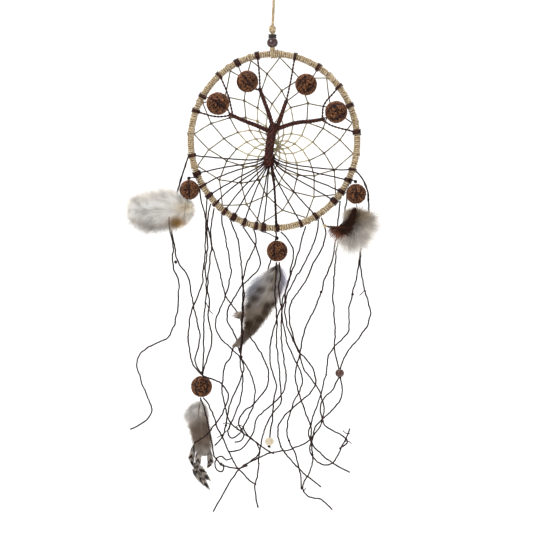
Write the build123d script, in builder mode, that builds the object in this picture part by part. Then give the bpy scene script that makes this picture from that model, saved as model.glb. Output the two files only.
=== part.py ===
from build123d import *
import math
import os

os.makedirs("parts", exist_ok=True)

# Tree-of-life dream catcher, hanging on a nail. Millimetres, +Z up, +Y away from the viewer.
# The origin is where the nail holds the loop. The hoop hangs in the XZ plane below it.
# Every place below is given from the middle of the hoop: x to the right, z up.

# ---- driving dimensions ----
HOOP_DROP = 171.0            # nail to the middle of the hoop
HOOP_HALF_WIDTH = 83.2       # middle of the hoop to the ring's centreline, along X
HOOP_HALF_HEIGHT = 87.0      # the same, along Z: the bent ring is a little taller than wide
CORE_RADIUS = 2.2            # metal ring
WRAP_RADIUS = 3.5            # jute wound over it
WRAP_GAP = 2.0               # degrees left bare on each side of the top, under the lashing
TIE_CORD = 0.65              # radius of the cord hitched round the hoop at each tie

NECK_X = -1.6                # the hanging cord meets the hoop this far left of its middle
HANGING_CORD = 1.4           # radius of the jute cord
LOOP_RADIUS = 6.0            # nail loop, centreline
LOOP_LEAN = 16.0             # degrees by which the loop's legs close in
LOOP_LEG = 16.0
LOOP_KNOT = 3.2
BEAD_CLEARANCE = 0.2         # all round, between a bead and the cord it turns on

WAXED_CORD = 1.15            # diameter of the dark cords
WEB_CORD = 0.9               # diameter of the web's cord
WEB_DEPTH = 2.0              # the web lies this far behind the hoop's middle plane
TREE_DEPTH = -5.3            # the trunk stands this far in front of it
TIE_DEPTH = -4.2             # cords leave the hoop's front face here
BRANCH_RADIUS = 1.75
ROOT_RADIUS = 0.7
SEED_DEPTH = -9.8            # the threaded seeds stand in front of the web
BRANCH_TIP_DEPTH = -8.0      # a branch comes forward to reach its seed
SEED_BORE = 1.0              # radius of the hole through a seed

# The ring is four arcs, tangent where they meet
CORNER_SHIFT = (HOOP_HALF_HEIGHT - HOOP_HALF_WIDTH) / (2 - math.sqrt(2))
END_ARC = HOOP_HALF_HEIGHT - CORNER_SHIFT
SIDE_ARC = HOOP_HALF_WIDTH + CORNER_SHIFT
HALF_RIGHT = math.sqrt(0.5)
JOIN_ANGLE = math.degrees(math.atan2(CORNER_SHIFT + END_ARC * HALF_RIGHT, END_ARC * HALF_RIGHT))

HOOP_PLANE = Plane(origin=(0, 0, -HOOP_DROP), x_dir=(1, 0, 0), z_dir=(0, -1, 0))


def keep(name, part):
    """Labels a finished piece and writes it as its own STEP file."""
    part.label = name
    export_step(part, f"parts/{name}.step")


def at(x, y, z):
    """A place given from the middle of the hoop, in the part's frame."""
    return Vector(x, y, z - HOOP_DROP)


def ring_point(angle):
    """The ring's centreline in a direction from the hoop's middle, and the outward normal there."""
    across, up = math.cos(math.radians(angle)), math.sin(math.radians(angle))
    if abs(up) > math.sin(math.radians(JOIN_ANGLE)):
        centre, radius = (0, math.copysign(CORNER_SHIFT, up)), END_ARC
    else:
        centre, radius = (-math.copysign(CORNER_SHIFT, across), 0), SIDE_ARC
    along = across * centre[0] + up * centre[1]
    reach = along + math.sqrt(radius ** 2 - CORNER_SHIFT ** 2 + along ** 2)
    x, z = reach * across, reach * up
    return x, z, (x - centre[0]) / radius, (z - centre[1]) / radius


def ring_path(gap=0.0):
    """The ring's centreline, closed, or open by a gap in degrees on each side of the top."""
    with BuildLine(HOOP_PLANE) as path:
        CenterArc((0, CORNER_SHIFT), END_ARC, 90 + gap, 45 - gap)
        CenterArc((CORNER_SHIFT, 0), SIDE_ARC, 135, 90)
        CenterArc((0, -CORNER_SHIFT), END_ARC, 225, 90)
        CenterArc((-CORNER_SHIFT, 0), SIDE_ARC, 315, 90)
        CenterArc((0, CORNER_SHIFT), END_ARC, 45, 45 - gap)
    return path.wire()


def bend_radii(points):
    """The largest arcs that the runs on each side of a corner leave room for."""
    radii = []
    for before, corner, after in zip(points, points[1:], points[2:]):
        into, out = corner - before, after - corner
        half_turn = math.radians(into.get_angle(out)) / 2
        radii.append(0.45 * min(into.length, out.length) / math.tan(half_turn))
    return radii


def add_rod(points, radius, bend=None):
    """Adds a round rod or a taut cord through the points to the piece being built."""
    if len(points) == 2:
        path = Edge.make_line(points[0], points[1])
    else:
        radii = bend_radii(points)
        if bend:
            radii = [min(bend, largest) for largest in radii]
        with BuildLine() as rounded:
            FilletPolyline(*points, radius=radii)
        path = rounded.wire()
    with BuildSketch(Plane(origin=path @ 0, z_dir=path % 0)) as section:
        Circle(radius)
    sweep(sections=section.sketch, path=path)


# ---- hanging cord, its loop and its beads ----
NECK_TOP = 94.0              # top of the lashing's neck, where the big bead rests
BEAD_HEIGHT, BEAD_RADIUS = 8.2, 5.65
DISC_HEIGHT, DISC_RADIUS = 1.9, 4.25
KNOT_HEIGHT, KNOT_RADIUS = 9.0, 3.9
LOOP_KNOT_Z = HOOP_DROP - 24.0

bead_low = NECK_TOP + 0.2
disc_low = bead_low + BEAD_HEIGHT + 0.3
knot_low = disc_low + 2 * DISC_HEIGHT + 0.7

with BuildPart() as hanging_cord:
    add_rod([at(NECK_X, 0, NECK_TOP + 0.4), at(NECK_X, 0, knot_low + KNOT_HEIGHT / 2)], HANGING_CORD)
    add_rod([at(NECK_X, 0, knot_low + KNOT_HEIGHT / 2), at(0, 0, LOOP_KNOT_Z)], HANGING_CORD)
    with BuildSketch(Plane(origin=at(NECK_X, 0, knot_low), x_dir=(1, 0, 0), z_dir=(0, -1, 0))):
        with BuildLine():
            Polyline((0, 0), (KNOT_RADIUS * 0.55, 0))
            ThreePointArc((KNOT_RADIUS * 0.55, 0), (KNOT_RADIUS, KNOT_HEIGHT * 0.45),
                          (KNOT_RADIUS * 0.45, KNOT_HEIGHT))
            Polyline((KNOT_RADIUS * 0.45, KNOT_HEIGHT), (0, KNOT_HEIGHT), (0, 0))
        make_face()
    revolve(axis=Axis(at(NECK_X, 0, 0), (0, 0, 1)))
keep("hanging_cord", hanging_cord.part)

with BuildPart() as hanging_loop:
    with BuildLine(Plane.XZ) as eye:
        bow = CenterArc((0, HANGING_CORD - LOOP_RADIUS), LOOP_RADIUS, -LOOP_LEAN, 180 + 2 * LOOP_LEAN)
        PolarLine(bow @ 0, LOOP_LEG, direction=(bow % 0) * -1)
        PolarLine(bow @ 1, LOOP_LEG, direction=bow % 1)
    eye_wire = eye.wire()
    with BuildSketch(Plane(origin=eye_wire @ 0, z_dir=eye_wire % 0)):
        Circle(HANGING_CORD)
    sweep(path=eye_wire)
    with Locations(at(0, 0, LOOP_KNOT_Z + 1.5)):
        Sphere(LOOP_KNOT)
    with Locations(at(0, 0, LOOP_KNOT_Z - 2.5)):
        Cylinder(HANGING_CORD + 0.4, 4.0, mode=Mode.SUBTRACT)
keep("hanging_loop", hanging_loop.part)


def turned_bead(name, centre, radius, height, bore):
    """A wooden bead turned on a lathe: a ball with flat ends and a hole along Z."""
    with BuildPart() as bead:
        Sphere(radius)
        Cylinder(radius, height, mode=Mode.INTERSECT)
        Hole(bore, 2 * radius + 2)
    keep(name, bead.part.moved(Location(centre)))


HANGING_BORE = HANGING_CORD + BEAD_CLEARANCE
turned_bead("top_bead", at(NECK_X, 0, bead_low + BEAD_HEIGHT / 2), BEAD_RADIUS, BEAD_HEIGHT, HANGING_BORE)

with BuildPart() as spacer_discs:
    for step in range(2):
        low = disc_low + step * (DISC_HEIGHT + 0.2)
        with BuildSketch(Plane(origin=at(NECK_X, 0, low))):
            Circle(DISC_RADIUS)
            Circle(HANGING_BORE, mode=Mode.SUBTRACT)
        extrude(amount=DISC_HEIGHT)
    fillet(spacer_discs.edges().filter_by(GeomType.CIRCLE).filter_by(
        lambda edge: edge.radius > HANGING_BORE + 1), 0.6)
keep("spacer_discs", spacer_discs.part)

# ---- hoop ----
with BuildPart() as hoop_core:
    core_path = ring_path()
    with BuildSketch(Plane(origin=core_path @ 0, z_dir=core_path % 0)):
        Circle(CORE_RADIUS)
    sweep(path=core_path)
keep("hoop_core", hoop_core.part)

with BuildPart() as hoop_wrap:
    wrap_path = ring_path(WRAP_GAP)
    with BuildSketch(Plane(origin=wrap_path @ 0, z_dir=wrap_path % 0)):
        Circle(WRAP_RADIUS)
        Circle(CORE_RADIUS, mode=Mode.SUBTRACT)
    sweep(path=wrap_path)
keep("hoop_wrap", hoop_wrap.part)

# The jute lashing closes the wrap at the top and carries the hoop on its neck
LASHING_RADIUS, LASHING_WIDTH, NECK_RADIUS = 4.7, 5.6, 2.5
with BuildPart() as hoop_lashing:
    with BuildSketch(Plane(origin=at(0, 0, HOOP_HALF_HEIGHT), z_dir=(1, 0, 0))):
        Circle(LASHING_RADIUS)
        Circle(CORE_RADIUS, mode=Mode.SUBTRACT)
    extrude(amount=LASHING_WIDTH / 2, both=True)
    with BuildSketch(Plane(origin=at(NECK_X, 0, NECK_TOP))):
        Circle(NECK_RADIUS)
    extrude(amount=-(NECK_TOP - HOOP_HALF_HEIGHT - CORE_RADIUS - 0.6))
keep("hoop_lashing", hoop_lashing.part)

# Where each cord of the tree is hitched round the hoop, as degrees round from +X
CANOPY_TIES = [159, 148, 130, 115, 101, 76, 59, 40, 25, 6]
ROOT_TIES = [-170, -157, -148, -140, -133, -125, -118, -110, -102, -97, -88, -72, -61, -45, -37, -28, -20]
with BuildPart() as hoop_ties:
    for angle in CANOPY_TIES + ROOT_TIES:
        tie_x, tie_z, out_x, out_z = ring_point(angle)
        with Locations(Plane(origin=at(tie_x, 0, tie_z), z_dir=(-out_z, 0, out_x))):
            Torus(WRAP_RADIUS + TIE_CORD, TIE_CORD)
keep("hoop_ties", hoop_ties.part)

# ---- web: each round is looped over the middle of the round before ----
WEB_ANCHORS = [175, 152, 122, 106, 86, 50, 13, -9, -41, -67, -99, -129, -162]
WEB_ROUNDS = [1.0, 0.79, 0.61, 0.46, 0.34, 0.24, 0.16, 0.1]   # how far out each round reaches
WEB_EYE = (1.0, -5.0)        # the web closes in on this point


def web_knots(round_number):
    """The knots of one round, half a step on from those of the round before."""
    count = len(WEB_ANCHORS)
    share = WEB_ROUNDS[round_number]
    angles = list(WEB_ANCHORS)
    for step in range(round_number):
        angles = [(angles[i] + angles[i + 1 - count] - (360 if i == count - 1 else 0)) / 2
                  for i in range(count)]
    knots = []
    for angle in angles:
        x, z, out_x, out_z = ring_point(angle)
        inside = WRAP_RADIUS - 0.4 if round_number == 0 else 0
        knots.append(at((x - inside * out_x) * share + WEB_EYE[0] * (1 - share), WEB_DEPTH,
                        (z - inside * out_z) * share + WEB_EYE[1] * (1 - share)))
    return knots


with BuildPart() as web_net:
    for round_number in range(1, len(WEB_ROUNDS)):
        outer, inner = web_knots(round_number - 1), web_knots(round_number)
        zigzag = [knot for pair in zip(outer, inner) for knot in pair]
        with BuildLine() as thread:
            FilletPolyline(*zigzag, radius=0.5, close=True)
        thread_wire = thread.wire()
        with BuildSketch(Plane(origin=thread_wire @ 0, z_dir=thread_wire % 0)):
            Circle(WEB_CORD / 2)
        sweep(path=thread_wire)
keep("web_net", web_net.part)

# ---- tree: a trunk of gathered cords, four branches, their twigs and the roots ----
TRUNK = [(-1, 15, 4.6), (-2.5, 8, 4.2), (-4.0, -2, 3.9), (-5.0, -12, 4.2), (-6.0, -21, 4.8)]
with BuildPart() as tree_trunk:
    for x, z, radius in TRUNK:
        with BuildSketch(Plane(origin=at(x, TREE_DEPTH, z))):
            Circle(radius)
    loft()
keep("tree_trunk", tree_trunk.part)

BRANCHES = {
    "branch_far_left": [(-4, 9), (-14, 14), (-25, 18), (-35, 22), (-43, 26)],
    "branch_left": [(-1, 13), (-4, 24), (-10, 40), (-14, 51)],
    "branch_right": [(2, 13), (6, 20), (9, 31), (12, 39)],
    "branch_far_right": [(1, 11), (15, 16.5), (27, 18.8), (39, 19.5), (49, 21.5)],
}
for name, route in BRANCHES.items():
    reach = BRANCH_TIP_DEPTH - TREE_DEPTH
    bent = [at(x, TREE_DEPTH + reach * step / (len(route) - 1), z)
            for step, (x, z) in enumerate(route)]
    with BuildPart() as branch:
        add_rod(bent, BRANCH_RADIUS)
    keep(name, branch.part)

# Each threaded seed: its middle, its radius, the branch it hangs from and its tie on the hoop
CANOPY_SEEDS = {
    "canopy_seed_far_left": ((-56, 37), 11.5, "branch_far_left", 148),
    "canopy_seed_left": ((-26.5, 59), 11.0, "branch_left", 115),
    "canopy_seed_right": ((32, 56), 11.0, "branch_right", 59),
    "canopy_seed_far_right": ((62, 28.5), 11.3, "branch_far_right", 25),
}
SEED_FLAT = 0.8              # the bore's mouths are cut flat this deep


def seed(name, centre, radius, axis):
    """A round dried seed with five grooves from hole to hole, on the cord through it."""
    with BuildPart() as body:
        Sphere(radius)
        with PolarLocations(0, 5):
            with Locations(Location((radius + 0.5, 0, 0), (90, 0, 0))):
                Cylinder(0.9, 2 * radius, rotation=(90, 0, 0), mode=Mode.SUBTRACT)
        Hole(SEED_BORE + BEAD_CLEARANCE, 2 * radius + 2)
        with Locations((0, 0, 2 * radius - SEED_FLAT), (0, 0, SEED_FLAT - 2 * radius)):
            Box(2 * radius, 2 * radius, 2 * radius, mode=Mode.SUBTRACT)
    keep(name, body.part.moved(Location(Plane(origin=centre, z_dir=axis))))


thread_routes = []
for name, (middle, radius, branch_name, tie) in CANOPY_SEEDS.items():
    tip_x, tip_z = BRANCHES[branch_name][-1]
    tie_x, tie_z, out_x, out_z = ring_point(tie)
    bore = (Vector(tie_x, 0, tie_z) - Vector(tip_x, 0, tip_z)).normalized()
    centre = at(middle[0], SEED_DEPTH, middle[1])
    seed(name, centre, radius, bore)
    thread_routes.append([at(tip_x, BRANCH_TIP_DEPTH, tip_z), centre - bore * (radius + 1.5),
                          centre + bore * (radius + 1.0), at(tie_x, TIE_DEPTH - 0.4, tie_z)])

# Twigs that pass beside the seeds, from a branch to a tie: x, depth and z
TWIGS = [
    [(-42, -6.8, 25.5), (-54, -2.9, 23.5), (-66, -2.9, 25.5), (-77.2, -4.2, 29.6)],
    [(-41, -6.6, 25), (-43, -4.0, 37), (-46.5, -3.0, 47), (-49.5, -3.0, 56), (-54, -4.2, 64.5)],
    [(-14, -8.0, 50), (-14.2, -5.5, 62), (-15.5, -4.0, 74), (-16.4, -4.2, 84.5)],
    [(12, -8.0, 38), (15, -5.5, 51), (18.5, -4.0, 70), (21, -4.2, 84)],
    [(48, -7.6, 21.2), (48.5, -3.6, 29), (49.5, -3.0, 36), (55, -3.0, 43.5), (65, -4.2, 54.5)],
    [(47, -7.6, 21), (58, -3.4, 14.5), (67, -3.0, 12.5), (82, -4.2, 8.6)],
]
with BuildPart() as canopy_twigs:
    for route in thread_routes:
        add_rod(route, WAXED_CORD / 2, bend=1.2)
    for route in TWIGS:
        add_rod([at(*point) for point in route], WAXED_CORD / 2, bend=8.0)
keep("canopy_twigs", canopy_twigs.part)

# Roots fan out from the foot of the trunk, one to each tie, through these points
ROOTS = [
    [(-9, -19.5), (-44, -18.5)], [(-9, -21), (-54, -26.5)], [(-8, -22), (-48, -31.5)],
    [(-8, -23), (-44, -41)], [(-8, -24), (-45, -47.5)], [(-7.5, -25), (-36, -50.5)],
    [(-7, -26), (-25, -48)], [(-6.5, -26), (-19.5, -50)], [(-6, -26), (-10.5, -54)],
    [(-5.5, -26), (-7.5, -62)], [(-4, -26), (0.5, -45)], [(-4, -26), (12, -57)],
    [(-3.5, -25), (29, -61)], [(-3, -24), (45, -50.5)], [(-3, -23), (55, -45)],
    [(-3, -22), (42, -32)], [(-3, -20.5), (60, -30)],
]
ROOT_COLLAR = (-5.5, -22.5, 4.6, 6.0)   # x, z, radius and height of the bound foot of the trunk
TAP_ROOT = 1.9               # the root straight down is this many times as thick
with BuildPart() as root_cords:
    for (start, middle), tie in zip(ROOTS, ROOT_TIES):
        tie_x, tie_z, out_x, out_z = ring_point(tie)
        add_rod([at(start[0], TREE_DEPTH + 0.4, start[1]), at(middle[0], TIE_DEPTH - 0.6, middle[1]),
                 at(tie_x, TIE_DEPTH - 0.4, tie_z)], ROOT_RADIUS)
    add_rod([at(-2.5, TREE_DEPTH, -24), at(1.5, TIE_DEPTH - 1.0, -46),
             at(2.0, TIE_DEPTH - 1.0, -86)], ROOT_RADIUS * TAP_ROOT)
    with Locations(at(ROOT_COLLAR[0], TREE_DEPTH, ROOT_COLLAR[1])):
        Cylinder(ROOT_COLLAR[2], ROOT_COLLAR[3])
keep("root_cords", root_cords.part)

# ---- hanging seeds, each swinging below a small knot ----
# the knot's place, the seed's middle and radius, and the cords from the hoop to the knot
PENDANTS = {
    "left": ((-85, -6, -37.2), (-84.5, -49), 10.0, [[(-75.5, -4.6, -36.2)]]),
    "right": ((81.3, -6, -40.8), (82, -53), 10.2, [[(75.6, -4.6, -37.4)]]),
    "centre": ((3, 0, -97.2), (3, -110), 10.7,
               [[(-12.4, 0, -90.6), (-6, 0, -92.0)], [(1.6, 0, -91.3), (2.4, 0, -94)]]),
    "lower": ((-72, 0, -232.3), (-72.5, -245.5), 10.7, []),
}
HANGER_KNOT = 1.7
with BuildPart() as seed_hangers:
    for knot, middle, radius, cords in PENDANTS.values():
        for cord_points in cords:
            add_rod([at(*point) for point in cord_points] + [at(*knot)], WAXED_CORD / 2, bend=6.0)
    for knot, middle, radius, cords in PENDANTS.values():
        with Locations(at(*knot)):
            Sphere(HANGER_KNOT)
keep("seed_hangers", seed_hangers.part)

for side, (knot, middle, radius, cords) in PENDANTS.items():
    centre = at(middle[0], knot[1], middle[1])
    seed(f"{side}_seed", centre, radius, at(*knot) - centre)

# ---- feathers: flat closed outlines, with the quill bound to the cord below the seed ----
# depth of the middle plane, thickness, outline, and the quill from the seed to the vane
FEATHERS = {
    "white_feather": (-6, 6.0, [(-77, -63), (-79, -76), (-90, -86), (-106, -89), (-124, -90), (-137, -85),
                                (-147, -73), (-148, -61), (-140, -53), (-124, -50), (-108, -51),
                                (-97, -53), (-90, -62)],
                      [(-86, -59.2), (-87.5, -66)]),
    "grey_feather": (-5.8, 6.0, [(79, -68), (72, -80), (63, -97), (62, -108), (74, -115), (85, -110),
                                 (96, -100), (102, -88), (99, -75), (91, -67), (84, -65)],
                     [(82.5, -63.4), (84, -70)]),
    "brown_feather": (-12.7, 2.4, [(50, -84), (62, -85), (72, -84), (76, -72), (82, -68), (81, -80),
                                   (77, -90), (69, -97), (61, -102), (58, -97), (60, -91), (52, -88.5)],
                      [(49.5, -85.8), (58, -87)]),
    "centre_feather": (0, 3.0, [(3, -124), (9, -127), (14, -131), (13, -143), (8, -156), (1, -170),
                                (-9, -184), (-24, -197), (-33, -200), (-35, -190), (-34, -177),
                                (-31, -164), (-31, -150), (-26, -141), (-17, -134), (-6, -128)],
                       [(3, -120.9), (1.5, -128)]),
    "lower_feather": (0, 3.0, [(-75, -260.5), (-68, -264), (-65, -276), (-63, -290), (-62, -305),
                               (-61, -320), (-64, -332), (-63, -344), (-72, -346), (-81, -337),
                               (-77, -325), (-77, -310), (-80, -296), (-84, -284), (-91, -275),
                               (-85, -265)],
                      [(-73, -256.4), (-73.5, -265)]),
}
QUILL_RADIUS = 0.8
for name, (depth, thickness, outline, quill) in FEATHERS.items():
    with BuildPart() as feather:
        with BuildSketch(Plane(origin=at(0, depth, 0), x_dir=(1, 0, 0), z_dir=(0, -1, 0))):
            with BuildLine():
                Spline(*outline, periodic=True)
            make_face()
        extrude(amount=thickness / 2, both=True)
        add_rod([at(quill[0][0], depth, quill[0][1]), at(quill[1][0], depth, quill[1][1])], QUILL_RADIUS)
    keep(name, feather.part)

# ---- fringe: free waxed cords, each in its own layer of depth so that none runs into another ----
FRONT, BACK = -1, 1
BELLY = 2.0                  # how far the cords swell outwards below the hoop
BELLY_TOP, BELLY_FULL = -100.0, -150.0


def belly(x, z):
    """How far the fringe stands out at a place below the hoop, beyond its layer."""
    grown = min(1.0, max(0.0, (BELLY_TOP - z) / (BELLY_TOP - BELLY_FULL)))
    return BELLY * grown * (1 + math.sin(z / 19 + x / 31))


def layered(route, side, layer, start_depth, end_depth=None, swell=True, ease=3):
    """A cord's points in space: it eases from its tie into its own layer."""
    points = []
    for step, (x, z) in enumerate(route):
        depth = side * (layer + (belly(x, z) if swell else 0))
        entry = min(1.0, step / ease)
        depth = start_depth * (1 - entry) + depth * entry
        if end_depth is not None:
            left = min(1.0, (len(route) - 1 - step) / 3)
            depth = end_depth * (1 - left) + depth * left
        points.append(at(x, depth, z))
    return points


OUTER_LEFT = [(-86, -16), (-90, -27), (-93.5, -40), (-97, -52), (-102, -65), (-105, -78)]
OUTER_RIGHT = [(82.6, -30.4), (89.5, -37.5), (93, -48), (95, -60), (95, -74), (91.5, -88),
               (87.5, -102), (86, -116)]
ROUTES = {
    "fringe_left_long": OUTER_LEFT + [
        (-104, -92), (-100.5, -107), (-102.5, -119), (-100, -129), (-95, -141), (-96, -156),
        (-97, -170), (-100, -185), (-106, -196.5), (-117, -202), (-129, -207.5), (-137, -215),
        (-138, -227), (-133, -241), (-127.5, -255), (-121.5, -269), (-126.5, -279),
        (-136, -285.5), (-144, -288.5)],
    "fringe_left_seed_outer": OUTER_LEFT + [
        (-101.5, -92), (-99.5, -106), (-98, -119), (-90, -129), (-84.5, -139), (-83, -151),
        (-81.5, -164), (-78, -179), (-73.5, -193), (-75.5, -206), (-79.5, -217), (-78, -226),
        (-73.4, -231.4)],
    "fringe_left_round_seed": [
        (-67, -58.5), (-67.3, -68), (-68, -84), (-68.5, -104), (-69.5, -124), (-71.5, -143),
        (-76.5, -157), (-82.5, -170), (-85, -185), (-85.5, -200), (-84, -214), (-78.5, -227),
        (-69, -235), (-59, -239), (-50.5, -243.5), (-45, -252), (-46, -263), (-53, -274),
        (-61, -286), (-68, -294.5), (-74, -298), (-79.5, -301)],
    "fringe_left_cross": [
        (-74.5, -46.5), (-74, -55), (-71, -67), (-67.5, -82), (-63.5, -97), (-60.5, -112),
        (-55, -127), (-52.5, -142), (-49, -156), (-40, -166), (-33.5, -176), (-32, -189),
        (-34.5, -200), (-41.5, -207.5), (-44, -217), (-50.2, -225.5), (-51.7, -240),
        (-51.2, -255), (-49, -269), (-46, -281), (-36, -289), (-24, -297), (-13, -306),
        (-6, -311), (0, -313.5)],
    "fringe_left_seed_middle": [
        (-63.3, -63), (-66.5, -75), (-67, -90), (-65.5, -106), (-68, -121), (-68.4, -135),
        (-67, -151), (-68.7, -167), (-70.3, -184), (-70, -201), (-70.4, -217), (-71.6, -230.8)],
    "fringe_left_seed_inner": [
        (-59.8, -67.5), (-62, -77), (-63, -92), (-62, -108), (-65, -123), (-65.5, -138),
        (-66, -151), (-64, -164), (-66, -176), (-63, -188), (-61.3, -200), (-65, -213),
        (-69, -224), (-71, -231.3)],
    "fringe_left_tail": [
        (-52.2, -73.6), (-52.5, -83), (-49, -92), (-47.5, -106), (-43.5, -121), (-43, -136),
        (-47.5, -151), (-53.5, -167), (-59.7, -184), (-55.5, -196), (-45, -206.5),
        (-33.5, -216.5), (-26, -227), (-21, -240), (-18.5, -254), (-21, -267), (-27, -279),
        (-32, -288.5), (-26, -296.5), (-17, -303), (-13, -312), (-21, -320), (-32, -326.5),
        (-42, -336), (-48, -349), (-55, -360.5), (-61, -371.5)],
    "fringe_left_hook": [
        (-43.3, -79.7), (-40, -89), (-35.5, -100), (-33.5, -115), (-32, -130), (-30.5, -146),
        (-30, -162), (-31.5, -178), (-31, -194), (-32.5, -208), (-34.2, -221), (-31, -234),
        (-31.4, -248), (-34, -262), (-39, -274), (-44, -284), (-46.5, -291), (-43, -297),
        (-37, -294.5), (-33.5, -291)],
    "fringe_left_zigzag": [
        (-31.2, -85.6), (-27, -92), (-20.5, -101), (-15, -113), (-13.5, -125), (-22, -136),
        (-33, -145), (-39.5, -156), (-46, -167), (-47.5, -179), (-41.5, -189.5), (-37, -201),
        (-34, -214), (-29.5, -226), (-34, -240), (-39.5, -253), (-45.5, -265), (-46.5, -277),
        (-48.5, -289), (-51.5, -297.5), (-59.4, -305)],
    "fringe_left_short": [
        (-20.1, -89.2), (-17, -97), (-19, -107), (-25, -118), (-29.5, -130), (-31.5, -145),
        (-30.5, -160), (-32.5, -176), (-31.5, -191), (-34, -205), (-33, -216)],
    "fringe_behind_feather": [
        (2.5, -91.8), (1.5, -98.5), (0, -107), (-2, -118), (-7, -131), (-11, -144), (-13, -159),
        (-18, -174), (-24, -186), (-24, -197), (-17.5, -206), (-10, -218), (-5, -231), (-5.3, -243),
        (-11.5, -255), (-21, -264), (-30.5, -271), (-36.5, -280.5), (-33, -289), (-29.5, -295),
        (-33.5, -302), (-39.5, -302)],
    "fringe_natural_bead": [
        (7, -91), (12, -95.5), (17, -102.5), (20.5, -112), (17.5, -125), (15, -139), (10, -153),
        (6, -168), (2, -182), (-3, -196), (-4.7, -210), (-4.2, -223), (0, -235), (3, -245),
        (1, -254), (-1.3, -265), (-1, -277), (-3.2, -288), (-4.4, -297), (-4.8, -305)],
    "fringe_right_sweep_left": [
        (31.7, -85.4), (28.5, -95), (25.5, -108), (21, -121), (16.5, -134), (13, -147),
        (10.5, -159), (8, -171), (7, -185), (7.5, -200), (9.3, -215), (11.7, -230),
        (11.5, -245), (5.5, -256), (-4, -264.5), (-13.5, -271), (-19, -281), (-22, -294),
        (-28, -303.5), (-35.5, -309), (-44.5, -309.6)],
    "fringe_right_diagonal": [
        (44.4, -79), (43.5, -91), (39, -104), (33.5, -117), (26, -129.5), (18.5, -141.5),
        (12.5, -154), (10, -168), (12, -182), (17.5, -196), (23.5, -209), (33.5, -219.5),
        (40.5, -231), (42.3, -243), (34, -253.5), (23, -262.5), (12, -272), (4.5, -282),
        (2.5, -294), (8, -306.5), (16.5, -318), (26, -328), (36.5, -336.5), (46.5, -344.5)],
    "fringe_right_to_left": [
        (47.3, -77), (51, -85), (51.8, -95), (47.5, -107), (41.5, -119), (35.5, -131.5),
        (29, -144), (19.5, -155.5), (15, -168), (15.5, -182), (20, -197), (25, -211),
        (28.5, -225), (36, -237.5), (45, -247.5), (49, -259.5), (50.3, -272), (47, -284),
        (40, -294.5), (30, -302.5), (17.5, -307.5), (3.5, -309.9), (-8.5, -312.5),
        (-20, -318.5), (-31, -323.5)],
    "fringe_right_hook": [
        (66.2, -60), (65, -72), (63.5, -87), (61.5, -102), (58.5, -117), (54, -130),
        (49.5, -142), (46.5, -154), (41.5, -167), (35, -179), (29.7, -192), (27.5, -206),
        (24.5, -220), (20.7, -233), (22.5, -246), (27, -259.5), (31.5, -272.5), (37, -285),
        (38, -298), (34.5, -309), (41, -319.5), (50, -326), (59, -323), (65, -313),
        (69, -303), (73.5, -296), (76, -288)],
    "fringe_right_bead_inner": [
        (73.6, -49.6), (72.3, -62), (71.5, -76), (67, -90), (62.5, -105), (61.7, -120),
        (60.5, -135), (59, -150), (59.2, -165), (61.5, -180), (61.2, -195), (60.7, -209),
        (63, -220), (65.3, -228.4)],
    "fringe_right_long": OUTER_RIGHT + [
        (84.5, -129), (81.5, -142), (78.5, -155), (75, -168), (75.7, -181), (76, -191),
        (68.5, -198.5), (60, -207), (54.2, -216.5), (53, -229), (50.3, -243), (46, -257),
        (41.5, -271), (36.5, -284), (34.5, -296), (40, -307.5), (51, -317.5), (63, -325.5),
        (76, -332)],
    "fringe_right_bead_outer": OUTER_RIGHT + [
        (87, -128), (89, -141), (93, -154), (97, -167), (96, -180), (90, -192), (81, -202),
        (73, -212.5), (68.5, -221.5), (66.6, -228.4)],
    "bead_tail_left": [
        (65.3, -236.8), (61.5, -245), (57.5, -251.5), (49.5, -257), (46, -266), (47.5, -277),
        (52, -286), (61, -291), (69.5, -295), (75, -300.5), (71.5, -305.5), (65.5, -308)],
    "bead_tail_right": [
        (66.6, -236.8), (68.7, -248), (67, -259), (60.5, -269), (50.5, -277), (42, -285.5),
        (38.3, -297), (38, -309), (39, -322), (36, -333.5), (29, -343), (28.5, -352),
        (36.5, -357.8), (45.5, -358.5), (52.5, -363), (58.5, -370)],
    "centre_tail_left": [
        (2.2, -121.6), (2, -134), (1.2, -147), (1.5, -161), (3, -176), (2.7, -191), (2.2, -205),
        (4.5, -219), (5.8, -233), (6.5, -245), (8.5, -256), (4.5, -266), (-4, -275),
        (-9, -286), (-12.5, -298), (-14.7, -311), (-14.9, -325), (-18, -339), (-19.5, -353),
        (-15.8, -366.4)],
    "centre_tail_right": [
        (5.2, -121.4), (7, -131), (4.7, -143), (5.3, -156), (7.5, -170), (9.5, -185),
        (12, -199), (17.5, -213), (24, -224.5), (29, -235), (27.8, -247), (21, -258),
        (16.5, -269), (13.7, -281), (12, -292), (15.5, -301), (20.5, -312), (24.7, -324),
        (26.9, -336), (27.3, -348)],
    "seed_tail_left": [
        (-73.6, -256.9), (-70, -265), (-67.4, -277), (-64, -289), (-62, -301), (-61, -313),
        (-55, -321.5), (-45, -326), (-34.5, -327), (-26.5, -324)],
    "curl_ring": [
        (-42, -317), (-47.5, -319), (-51, -315.3), (-56, -315.2), (-59.5, -320.5),
        (-58, -327.5), (-53.2, -331), (-49, -327.5), (-50.5, -323)],
    "seed_tail_right": [
        (-70.8, -256.9), (-65.5, -262), (-62, -271), (-59, -281), (-55, -290.5), (-50, -300.5),
        (-45.5, -311), (-39, -322.5), (-32, -333), (-24.5, -339.5), (-18, -344)],
}
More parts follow.
